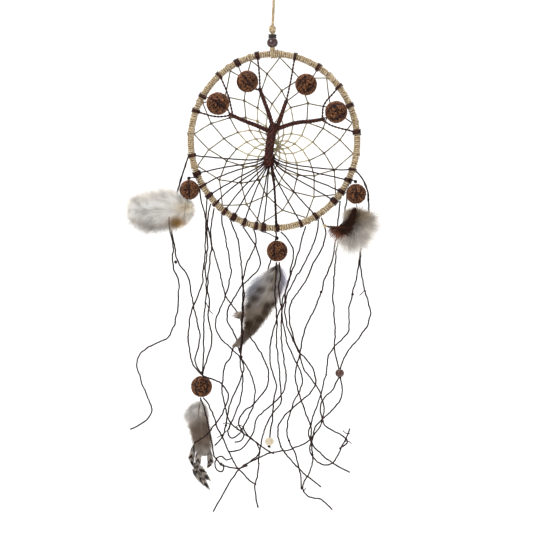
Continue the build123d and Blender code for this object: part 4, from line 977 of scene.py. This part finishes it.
def seed_surface(radius, number):
    """Points, faces and shades of one seed of the given radius, with its hole along Z."""
    rng = np.random.default_rng(number)
    offset = Vector(rng.uniform(0, 50, 3))
    mouth = math.asin(1.3 / radius)
    points, shades = [], []
    # The shell's own colour is the middle brown; the near-black in the pits is painted shade and the tan on the ridge
    # tops is painted highlight
    dark, middle, ridge_highlight = (np.array(srgb(code)[:3]) for code in ("#050100", "#381207", "#D08A54"))
    for tall in np.linspace(mouth, math.pi - mouth, SEED_RISE):
        for turn in np.linspace(0, 2 * math.pi, SEED_ROUND, endpoint=False):
            way = Vector((math.sin(tall) * math.cos(turn), math.sin(tall) * math.sin(turn), math.cos(tall)))
            worm = max(1 - 3.4 * abs(noise.noise(way * 5.4 + offset)),
                       1 - 3.8 * abs(noise.noise(way * 4.6 - offset)))
            knob = max(0.0, worm) ** 0.8
            small = noise.noise(way * 17 + offset)
            groove = math.exp(-((abs((turn * SEED_LOBES / (2 * math.pi)) % 1 - 0.5) - 0.5) / 0.09) ** 2)
            height = knob * (1 - 0.4 * groove) + 0.12 * small
            points.append(way * (radius * (0.81 + 0.2 * height)))
            tone = max(0.0, min(1.0, height))
            low = dark + (middle - dark) * min(1.0, tone / 0.62)
            colour = low + (ridge_highlight - middle) * max(0.0, (tone - 0.62) / 0.38) * (0.55 + 0.45 * small)
            shades.append((*np.clip(colour, 0.004, 1), 1.0))
    rows = np.arange(SEED_RISE - 1)[:, None] * SEED_ROUND
    here = np.arange(SEED_ROUND)[None, :]
    after = (here + 1) % SEED_ROUND
    faces = np.stack([rows + here, rows + SEED_ROUND + here, rows + SEED_ROUND + after, rows + after], axis=-1)
    # The hole through the middle
    bore_top, bore_low = np.arange(SEED_ROUND), np.arange(SEED_ROUND) + (SEED_RISE - 1) * SEED_ROUND
    bore = np.stack([bore_top, np.roll(bore_top, -1), np.roll(bore_low, -1), bore_low], axis=-1)
    return np.array(points), np.concatenate([faces.reshape(-1, 4), bore]), shades


def add_seed(name, centre, axis, radius, body, number):
    """One seed on its cord, standing for its CAD node."""
    points, faces, shades = seed_surface(radius, number)
    turn = np.array(Vector(axis).to_track_quat("Z", "Y").to_matrix())
    placed = points @ turn.T * MM + np.array(centre)
    piece = solid(name + "_shell", [(placed, faces)], SEED_SHELL, body, shades)
    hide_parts(name)
    return piece


for number, (name, (centre, bore, radius)) in enumerate(seed_axes.items()):
    add_seed(name, centre, bore, radius, name, number)

PENDANTS = {
    "left": ((-85, -6, -37.2), (-84.5, -49), 10.0, [(-75.5, -4.6, -36.2)]),
    "right": ((81.3, -6, -40.8), (82, -53), 10.2, [(75.6, -4.6, -37.4)]),
    "centre": ((3, 0, -97.2), (3, -110), 10.7, [(-12.4, 0, -90.6), (-6, 0, -92.0)]),
    "lower": ((-72, 0, -232.3), (-72.5, -245.5), 10.7, []),
}
hanger_parts = []
for number, (side, (knot, middle, radius, cord)) in enumerate(PENDANTS.items()):
    knot_place, centre = at(*knot), at(middle[0], knot[1], middle[1])
    add_seed(side + "_seed", centre, knot_place - centre, radius, side + "_pendant", 10 + number)
    if cord:
        hanger_parts.append(waxed([at(*place) for place in cord] + [(at(*cord[-1]) + knot_place) / 2, knot_place],
                                  0.58, 120 + number, 0.0))
    hanger_parts.append(wound_knot(knot_place, 1.8 * MM, 0.55 * MM, turns=5, seed=number))
hanger_parts.append(waxed([at(1.6, 0, -91.3), at(2.4, 0, -94), at(3, 0, -97.2)], 0.58, 130, 0.0))
hangers = solid("seed_hanger_cords", hanger_parts, WAXED, "hoop")
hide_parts("seed_hangers")
print(len(CANOPY_SEEDS) + len(PENDANTS), "seeds")

# %% small knots
KNOTS = [
    (-4.9, -306.0, NATURAL_BEAD_DEPTH, 1.6), (-33.0, -215.5, -(11.9 + belly(-33.0, -215.5)), 1.9),
    (-98.6, -121.0, 7.3 + belly(-98.6, -121.0), 1.5), (47.2, -151.0, 6.5 + belly(47.2, -151.0), 1.4),
    (79.0, -153.5, 11.3 + belly(79.0, -153.5), 1.4),
]
knot_parts = [wound_knot(at(x, depth, z), (size + 0.1) * MM, 0.5 * MM, turns=4, seed=index)
              for index, (x, z, depth, size) in enumerate(KNOTS)]
small_knots = solid("fringe_knots", knot_parts, WAXED, "hoop")
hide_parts("cord_knots")
print(len(KNOTS), "knots in the fringe")

# %% [markdown]
# Waxed cord picks up slubs, snags and small overhand knots as it is handled, with cut ends that stick out. Each
# sits on the nearest cord, so it is enough to say where it is seen from the front. They all ride on the hoop,
# so the few that sit on a pendant's cord stay behind when that pendant swings.

# %% slubs and cut ends
SLUBS = [(15.5, -299, 1.3), (52, -234, 1.1), (-47, -285, 1.4), (-44, -288, 1.1), (-37, -286.5, 1.2), (-33, -289, 1.4),
         (68.5, -237, 1.1), (1, -289, 1.0), (-16, -364.5, 1.0), (-52, -322, 1.6), (73, -299, 1.2), (70, -292, 1.0),
         (89.5, -151, 1.0), (30, -351, 0.9), (-10, -321, 1.1), (8, -304, 1.1), (-60, -297, 1.0)]
CUT_ENDS = [
    [(90.5, -150), (88.5, -152.5), (86, -154.5)], [(29, -352), (30.8, -350.2), (32, -348)],
    [(-68, -161), (-66, -165), (-64, -170), (-61, -172.5)], [(-51, -283), (-47, -282), (-43, -284.5), (-45, -289)],
    [(-39, -287), (-35, -284), (-30.5, -286.5), (-33, -291), (-37.5, -289)],
    [(69, -290), (72.5, -294), (76, -293)], [(71, -301), (75, -299), (77.5, -303)],
    [(-57, -297), (-52, -295), (-47, -290)],
]


def nearest_on_cords(x, z):
    """The point of any cord that is nearest to a place seen from the front."""
    spots = np.concatenate([np.array([tuple(place) for place in line]) for line in lines.values()])
    gaps = (spots[:, 0] - x * MM) ** 2 + (spots[:, 2] - (z - HOOP_DROP) * MM) ** 2
    return spots[np.argmin(gaps)]


slub_parts = []
for index, (x, z, size) in enumerate(SLUBS):
    slub_parts.append(wound_knot(Vector(nearest_on_cords(x, z)), size * MM, 0.45 * MM, turns=3, seed=20 + index))
for index, route in enumerate(CUT_ENDS):
    depth = nearest_on_cords(*route[0])[1] / MM - 0.6
    slub_parts.append(waxed([at(x, depth, z) for x, z in route], 0.5, 400 + index, 0.2))
slubs = solid("fringe_slubs", slub_parts, WAXED, "hoop")
slubs.parent = small_knots
print(len(SLUBS), "slubs and", len(CUT_ENDS), "cut ends")
# %% [markdown]
# ## Feathers
# A feather is a shaft with hundreds of barbs. Where the barbs hook together they lie flat as a vane; near the
# root, and all over on down, they are loose and soft. Each barb is a narrow ribbon that starts on the shaft and
# A feather is a shaft with hundreds of barbs. Where the barbs hook together they lie flat as a vane; near the
# root, and all over on down, they are loose and soft. Each barb is a narrow ribbon that starts on the shaft and
# runs out to a given outline, so the plume keeps its real shape, with ragged ends.

# %% feather helpers
BARB_POINTS = 7


def reach_to(outline, starts, ways):
    """How far it is from each start, in its own direction, to the outline; all in millimetres, x and z."""
    ends = np.roll(outline, -1, axis=0)
    edge = ends - outline
    far = np.full(len(starts), 0.5)
    for corner, run in zip(outline, edge):
        cross = ways[:, 0] * run[1] - ways[:, 1] * run[0]
        cross = np.where(np.abs(cross) < 1e-9, 1e-9, cross)
        gap = corner - starts
        along = (gap[:, 0] * run[1] - gap[:, 1] * run[0]) / cross
        share = (gap[:, 0] * ways[:, 1] - gap[:, 1] * ways[:, 0]) / cross
        hit = (share >= 0) & (share <= 1) & (along > 0)
        far = np.where(hit, np.maximum(far, along), far)
    return far


def smooth_outline(outline):
    """A closed outline rounded through its points, x and z in millimetres."""
    places = [Vector((x * MM, 0, z * MM)) for x, z in outline + outline[:2]]
    line = read_line("outline", places)
    return line[:, [0, 2]] / MM


def barbs(shaft, outline, depth, number, slant, spread, curl, thick, width, seed, trim=(0.8, 1.06),
          clump=0.25, ragged=0.25):
    """Ribbons from a shaft to an outline.

    slant is the barbs' angle from the shaft in degrees and spread its variation, curl how much each one bends
    of itself, thick the depth of the plume, clump how far neighbours bunch together, and ragged how unevenly the
    bunches end, all in millimetres but for the angles and shares. Returns the part, and where each point is along
    the shaft and along its barb.
    """
    rng = np.random.default_rng(seed)
    share = rng.uniform(0.0, 1.0, number)
    shaft = np.array(shaft)
    places = np.linspace(0, 1, len(shaft))
    starts = np.stack([np.interp(share, places, shaft[:, axis]) for axis in (0, 1)], axis=1)
    ahead = np.gradient(shaft, axis=0)
    ahead /= np.linalg.norm(ahead, axis=1)[:, None]
    way = np.stack([np.interp(share, places, ahead[:, axis]) for axis in (0, 1)], axis=1)
    side = np.where(rng.random(number) < 0.5, -1.0, 1.0)
    bunch = np.array([noise.noise(Vector((s * 24, k * 9.0, seed))) for s, k in zip(share, side)])
    tilt = np.radians(slant + rng.normal(0, spread, number) + bunch * clump * 60) * side
    ways = np.stack([way[:, 0] * np.cos(tilt) - way[:, 1] * np.sin(tilt),
                     way[:, 0] * np.sin(tilt) + way[:, 1] * np.cos(tilt)], axis=1)
    reach = reach_to(outline, starts, ways) * rng.uniform(*trim, number)
    gathered = [noise.noise(Vector((math.atan2(*way) * 5.5, s * 7.0, seed))) for way, s in zip(ways, share)]
    reach *= 1 + ragged * np.array(gathered).clip(-1, 0.1)
    along = np.linspace(0, 1, BARB_POINTS)[None, :, None]
    flat = starts[:, None, :] + ways[:, None, :] * reach[:, None, None] * along
    bend = rng.normal(0, curl, (number, 2)).clip(-1.6 * curl, 1.6 * curl) * (reach / 25).clip(0, 1)[:, None]
    flat = flat + bend[:, None, :] * (along ** 2) + 0.35 * curl * np.sin(
        along * 7 + rng.uniform(0, 6, number)[:, None, None]) * along
    layer = rng.normal(0, 0.4, number).clip(-1, 1) * thick / 2
    lift = layer[:, None] * np.sin(along[..., 0] * math.pi * 0.75) + depth
    paths = np.stack([flat[..., 0] * MM, lift * MM, (flat[..., 1] - HOOP_DROP) * MM], axis=-1)
    across = np.stack([-ways[:, 1], rng.normal(0, 0.9, number), ways[:, 0]], axis=1)
    across /= np.linalg.norm(across, axis=1)[:, None]
    taper = width * MM * np.array([0.9, 1, 1, 0.95, 0.8, 0.55, 0.2])[None, :]
    return ribbons(paths, across, taper), share, along[0, :, 0], flat


def tufts(flat, size, seed):
    """From -1 to 1: painted light and shade where the down gathers into tufts about size millimetres wide."""
    shift = seed * 3.7
    return np.array([noise.noise(Vector((x / size, z / size, shift)))
                     + 0.5 * noise.noise(Vector((x * 2.3 / size, z * 2.3 / size, shift)))
                     for x, z in flat.reshape(-1, 2)]).reshape(flat.shape[:2])


def barb_shades(colour_at, share, along, flat, seed, tuft=0.34):
    """The colour of every ribbon point, from a function of its places, with painted light on the tufts and painted
    shade between them.
    """
    rng = np.random.default_rng(seed)
    # Each barb's own tone varies a little at random, and on top of that the tufts carry painted light and shade
    tone_and_tuft_shade = rng.normal(1.0, 0.07, len(share))[:, None] * (1 + tuft * (tufts(flat, 5.0, 1) - 0.1))
    shades = colour_at(np.repeat(share[:, None], len(along), 1), np.repeat(along[None, :], len(share), 0),
                       flat) * tone_and_tuft_shade[..., None]
    shades = np.clip(shades, 0.003, 1.0)
    shades = np.concatenate([shades, np.ones((*shades.shape[:2], 1))], axis=2)
    return np.repeat(shades[:, :, None, :], 2, axis=2).reshape(-1, 4)


def mix(first, second, share):
    """Between two sRGB hex colours, or arrays of linear colours, by a share from 0 to 1."""
    first, second = (np.array(srgb(c)[:3]) if isinstance(c, str) else c for c in (first, second))
    share = np.clip(share, 0, 1)[..., None]
    return first * (1 - share) + second * share


def rounded_step(value, edge, softness):
    """0 below the edge and 1 above it, with a soft change between."""
    return 1 / (1 + np.exp(-(value - edge) / softness))


def plume(name, node, body, groups, shaft, depth, shaft_radius, shaft_shade):
    """A whole feather: its groups of barbs, and its tapering shaft."""
    parts, shades = [], []
    for (part, share, along, flat), colour_at, seed in groups:
        parts.append(part)
        shades.append(barb_shades(colour_at, share, along, flat, seed))
    piece = solid(name + "_barbs", parts, PLUME, body, np.concatenate(shades))
    line = even_steps(read_line(name, [at(x, depth, z) for x, z in shaft]), 0.5 * MM)
    taper = np.linspace(shaft_radius, shaft_radius * 0.25, len(line)) * MM
    stem_part = tube(line, taper, 8)
    stem_shades = np.tile(srgb(shaft_shade), (len(stem_part[0]), 1))
    stem = solid(name + "_shaft", [stem_part], QUILL, body, stem_shades)
    stem.parent = piece
    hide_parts(node)
    return piece


# %% [markdown]
# The left plume is body down: a thick soft cloud lying nearly level, white, with a tan patch where it is bound.

# %% white plume
WHITE_OUTLINE = smooth_outline([
    (-76, -64), (-77, -74), (-83, -81), (-91, -87), (-100, -90), (-112, -89), (-120, -91), (-131, -91),
    (-141, -84), (-148, -75), (-149, -64), (-144, -56), (-134, -52), (-120, -51), (-110, -47), (-103, -48),
    (-96, -53), (-86, -58)])
WHITE_SHAFT = [(-84, -66), (-96, -70), (-112, -71), (-128, -70), (-139, -69)]


def white_down(share, along, flat):
    """White, greyer at the ragged edge, with a tan patch low on the right."""
    patch = np.exp(-(((flat[..., 0] + 97) / 8.5) ** 2 + ((flat[..., 1] + 82) / 6.5) ** 2) * 1.3)
    warm = np.exp(-(((flat[..., 0] + 89) / 9) ** 2 + ((flat[..., 1] + 67) / 6) ** 2))
    under = rounded_step(-flat[..., 1], 83, 2.5) * rounded_step(-flat[..., 0], 112, 5) * along
    edge = mix(mix("#FFFDFA", "#C9C0B4", 0.7 * along ** 5), "#8E8378", 0.9 * under)
    return mix(mix(edge, "#E9D5AF", 0.6 * warm), "#B48F52", 1.25 * patch)


white_groups = [
    (barbs(WHITE_SHAFT, WHITE_OUTLINE, -6, 9500, 46, 26, 4.5, 11, 0.24, 201, trim=(0.55, 0.98), clump=0.25),
     white_down, 1),
    (barbs(WHITE_SHAFT, WHITE_OUTLINE, -6, 3000, 74, 34, 5.5, 13, 0.16, 202, trim=(0.7, 1.05), clump=0.1),
     white_down, 2),
    (barbs([(-88, -67), (-82, -67)], WHITE_OUTLINE, -6, 2200, 118, 44, 3.0, 9, 0.22, 203, trim=(0.7, 1.0)),
     white_down, 3),
]
plume("white_plume", "white_feather", "left_pendant", white_groups,
      [(-85.2, -59.6), (-86, -63), (-88, -67), (-96, -70), (-120, -71)], -6, 0.5, "#D9C7A0")
binding = [waxed([at(-104.5, -12.6, -76), at(-104.8, -12.8, -82), at(-104, -12.4, -88), at(-103.4, -11.5, -93)],
                 0.42, 301, 0.3),
           waxed([at(-88.6, -12.4, -62), at(-88.4, -13, -69), at(-88.8, -12.4, -76.5)], 0.22, 302, 0.2)]
solid("white_plume_binding", binding, WAXED, "left_pendant")
print("white plume done")

# %% [markdown]
# On the right hang two plumes: a brown one with a dark quill tied across, and a grey and white tuft of down.

# %% grey and brown plumes
GREY_OUTLINE = smooth_outline([
    (72, -68), (69, -76), (72, -84), (67, -90), (63, -98), (64, -106), (71, -112), (79, -115), (86, -112),
    (93, -107), (98, -100), (101, -92), (107, -84), (104, -76), (97, -71), (89, -67), (82, -66)])
GREY_SHAFT = [(81.5, -70), (79, -77), (77.5, -84), (76.5, -91)]


def grey_down(share, along, flat):
    """Olive brown above the root, grey in the middle and white at the ends."""
    high = rounded_step(flat[..., 1], -82, 3.5)
    root = mix("#62564B", "#6F583E", high)
    body = mix(root, mix("#B5ACA4", "#9A8568", high), along * 2.2)
    return mix(body, "#E8E3DC", rounded_step(along - 0.3 * high, 0.56, 0.1))


grey_groups = [
    (barbs(GREY_SHAFT, GREY_OUTLINE, -5.8, 6500, 62, 40, 4.5, 10, 0.22, 211, trim=(0.6, 1.02), clump=0.8,
           ragged=0.75), grey_down, 11),
    (barbs(GREY_SHAFT, GREY_OUTLINE, -5.8, 1300, 84, 44, 4.0, 11, 0.28, 212, trim=(0.85, 1.12), clump=1.2,
           ragged=0.9), grey_down, 12),
]
plume("grey_plume", "grey_feather", "right_pendant", grey_groups,
      [(82.2, -63.6), (83.5, -67), (81, -74), (77.5, -84)], -5.8, 0.55, "#4A3528")

# The brown feather's rusty side stands out in a ragged fan, and its dark side stays furled along the quill
BROWN_SHAFT = [(51, -85.4), (60, -86.6), (69, -89), (75, -86), (78, -78), (80.5, -69)]
RUSTY_FAN = smooth_outline([(55, -86), (64, -85), (76, -86), (76, -93), (71, -100), (66, -103), (60, -102),
                            (55, -96), (52, -91)])
FURLED = smooth_outline([(71, -86), (73.5, -81), (76, -73), (78.5, -67), (82, -66), (82.5, -72), (81, -80),
                         (78.5, -88), (74, -92), (70, -90)])
DARK_VANE = smooth_outline([(61, -85.5), (69, -85), (75, -76), (79.5, -66), (83.5, -68), (82.5, -80), (79, -92),
                            (73, -98), (67, -96), (61, -89.5)])
QUILL_FRINGE = smooth_outline([(52, -84.4), (60, -84.6), (68, -86), (74, -85), (76, -90), (70, -92.5),
                               (60, -89), (52, -86.6)])


def brown_vane(share, along, flat):
    """Dark brown by the quill, rusty towards the loose ends."""
    return mix("#2A150D", "#8A4E34", rounded_step(along, 0.5, 0.14))


def furled_vane(share, along, flat):
    """Nearly black brown, a little warmer at the edge."""
    return mix("#1B0D09", "#4A2A1C", along)


brown_groups = [
    (barbs([(57, -86.6), (66, -88), (73, -88)], RUSTY_FAN, -12.7, 420, -128, 17, 1.6, 2.4, 0.3, 221,
           trim=(0.5, 1.08), clump=0.7), brown_vane, 21),
    (barbs(BROWN_SHAFT[3:], FURLED, -12.7, 900, 14, 7, 0.8, 2.0, 0.26, 222, trim=(0.4, 1.05), clump=0.3),
     furled_vane, 22),
    (barbs([(62, -87), (70, -88), (75, -83), (79, -73)], DARK_VANE, -12.7, 1000, 38, 18, 1.4, 2.0, 0.3, 224,
           trim=(0.4, 1.08), clump=0.6), furled_vane, 24),
    (barbs(BROWN_SHAFT[:4], QUILL_FRINGE, -12.7, 260, 30, 16, 0.6, 1.0, 0.22, 223, trim=(0.5, 1.1), clump=0.3),
     brown_vane, 23),
]
brown_piece = plume("brown_plume", "brown_feather", "hoop", brown_groups, BROWN_SHAFT, -12.7, 0.75, "#1E0F0A")
tan_knot = solid("brown_plume_knot", [
    wound_knot(at(51, -12.7, -85.2), 1.9 * MM, 0.5 * MM, turns=4, seed=4),
    hairs(np.array([at(51, -12.7, -85.2), at(48.5, -12.7, -84.6), at(46.5, -12.7, -84.2)]), 0.2 * MM, 3.2 * MM,
          0.12 * MM, 60, 17)], JUTE, "hoop")
tan_knot.parent = brown_piece
print("right plumes done")

# %% [markdown]
# The centre feather is a flank feather, grey and white with brown blotches, broad and a little ragged. Its
# root is downy, and its tip ends in a narrow tail.

# %% centre feather
CENTRE_OUTLINE = smooth_outline([
    (3, -122), (8, -125), (13, -129), (15, -136), (13, -144), (9, -153), (5, -161), (-1, -170), (-9, -181),
    (-16, -190), (-24, -197.5), (-32, -202), (-41, -206), (-38, -200), (-31, -193), (-31, -182), (-31, -172),
    (-31, -160), (-30, -148), (-25, -140), (-16, -133), (-6, -127)])
CENTRE_SHAFT = [(4, -123), (1, -138), (-7, -156), (-16, -174), (-24, -190), (-34, -201)]


BLOTCHES = [(-13, -149, 4.2), (-19.5, -157.5, 4), (-26.5, -165, 3.6), (-3, -138, 4), (-7.5, -165, 4.4),
            (0.5, -163, 3.2), (-15, -178, 4.6), (-25, -184.5, 5.5), (-9.5, -171.5, 3.4), (1, -128, 3.4),
            (-2, -148, 2.8)]


def flank_vane(share, along, flat):
    """Grey-white with brown blotches in loose bars, browner towards the tip."""
    low = rounded_step(-flat[..., 1], 158, 6)
    base = mix("#E2DCD6", "#A89684", 0.95 * low)
    cool = mix(base, "#A9AFBF", 0.8 * (1 - low) * rounded_step(-flat[..., 0], 13, 3))
    lilac = mix(cool, "#B9B4C2", 0.9 * rounded_step(flat[..., 0], 5, 1.5))
    tip = mix(lilac, "#6B5A4E", 0.85 * rounded_step(-flat[..., 1], 180, 3))
    tail = mix(tip, "#A89A90", 0.8 * rounded_step(-flat[..., 1], 198, 2))
    for x, z, size in BLOTCHES:
        spot = np.exp(-(((flat[..., 0] - x) / size) ** 2 + ((flat[..., 1] - z) / (0.8 * size)) ** 2))
        tail = mix(tail, "#4E3A26", np.minimum(1.5 * spot, 0.88))
    return tail


centre_groups = [
    (barbs(CENTRE_SHAFT, CENTRE_OUTLINE, 0, 5600, 34, 8, 1.4, 4.5, 0.28, 231, trim=(0.7, 1.0), clump=0.4),
     flank_vane, 31),
    (barbs(CENTRE_SHAFT, CENTRE_OUTLINE, 0, 1500, 46, 18, 3.5, 6, 0.18, 232, trim=(0.85, 1.12), clump=0.5),
     flank_vane, 32),
    (barbs([(-26, -173), (-32, -174.5)], smooth_outline([(-26, -170), (-34, -170), (-42, -171), (-43, -176),
                                                         (-36, -179), (-27, -177)]), -1, 420, 26, 26, 1.5, 3,
           0.2, 233), flank_vane, 33),
    (barbs([(-24, -192), (-33, -201), (-40, -205)], smooth_outline([(-22, -190), (-30, -193), (-38, -200),
                                                                    (-44, -207), (-34, -206), (-27, -204)]), -1, 620,
           24, 14, 1.5, 3, 0.2, 234), flank_vane, 34),
]
plume("flank_feather", "centre_feather", "centre_pendant", centre_groups,
      [(3, -120.9), (1, -138), (-7, -156), (-16, -174), (-24, -190)], -0.6, 0.5, "#9B8B74")

# %% [markdown]
# The lower feather starts as a white tuft of down, goes on as a narrow grey-brown vane, and ends in short
# curled tips barred in dark brown.

# %% lower feather
LOWER_OUTLINE = smooth_outline([
    (-75, -260), (-69, -263), (-66, -270), (-66, -282), (-64, -292), (-63, -302), (-63, -312), (-70, -316),
    (-79, -312), (-81, -302), (-83, -292), (-86, -284), (-91, -277), (-91, -270), (-85, -264), (-79, -260)])
LOWER_SHAFT = [(-74, -261), (-76, -275), (-75, -290), (-73, -303), (-71, -313)]
CURLS = [
    ([(-79, -302), (-82, -312), (-83, -319), (-80, -327)], 3.4),
    ([(-74, -306), (-76, -316), (-76, -323), (-79, -330)], 3.6),
    ([(-66, -306), (-64, -316), (-63, -323), (-67, -327)], 3.4),
    ([(-83, -322), (-76, -326), (-70, -334), (-63, -340)], 4.6),
    ([(-82, -328), (-76, -334), (-70, -341), (-64, -349)], 4.2),
]


def narrow_vane(share, along, flat):
    """White above, brown and grey below."""
    brown = rounded_step(-flat[..., 1] + 0.6 * flat[..., 0] + 46, 278, 3)
    tone = mix("#E6E2DE", "#9D8B7B", brown)
    bars = rounded_step(np.sin(flat[..., 1] * 0.62 + 0.25 * flat[..., 0]), 0.45, 0.15) * brown
    return mix(mix(tone, "#6A5443", 0.35 * bars), "#D9D2CC", 0.7 * rounded_step(-flat[..., 1], 306, 2))


def barred(share, along, flat):
    """Dark and pale bars across a curled tip."""
    return mix("#D3C8BE", "#35261D", rounded_step(np.sin(share * 17.5 + 0.9 * along), -0.15, 0.22))


lower_groups = [
    (barbs(LOWER_SHAFT, LOWER_OUTLINE, 0, 6800, 34, 14, 2.6, 6, 0.26, 241, trim=(0.65, 1.02), clump=0.4),
     narrow_vane, 41),
    (barbs(LOWER_SHAFT[:2], LOWER_OUTLINE, 0, 2400, 66, 34, 4.0, 8, 0.2, 242, trim=(0.7, 1.04)), narrow_vane, 42),
]
for index, (route, half_width) in enumerate(CURLS):
    line = read_line("curl", [Vector((x * MM, 0, z * MM)) for x, z in route])[:, [0, 2]] / MM
    sides = np.gradient(line, axis=0)
    sides = np.stack([-sides[:, 1], sides[:, 0]], axis=1) / np.linalg.norm(sides, axis=1)[:, None]
    swell = half_width * np.sin(np.linspace(0.35, math.pi - 0.12, len(line)))[:, None]
    edge = np.concatenate([line + sides * swell, (line - sides * swell)[::-1]])
    lower_groups.append((barbs(line, edge, 0.4 * index - 1.0, 700, 30, 8, 0.8, 1.6, 0.26, 250 + index,
                               trim=(0.8, 1.05), clump=0.3), barred, 51 + index))
plume("tail_feather", "lower_feather", "lower_pendant", lower_groups,
      [(-73, -256.4), (-74, -261), (-76, -275), (-75, -290), (-72, -309)], -0.8, 0.45, "#5A4636")
print("feathers done")
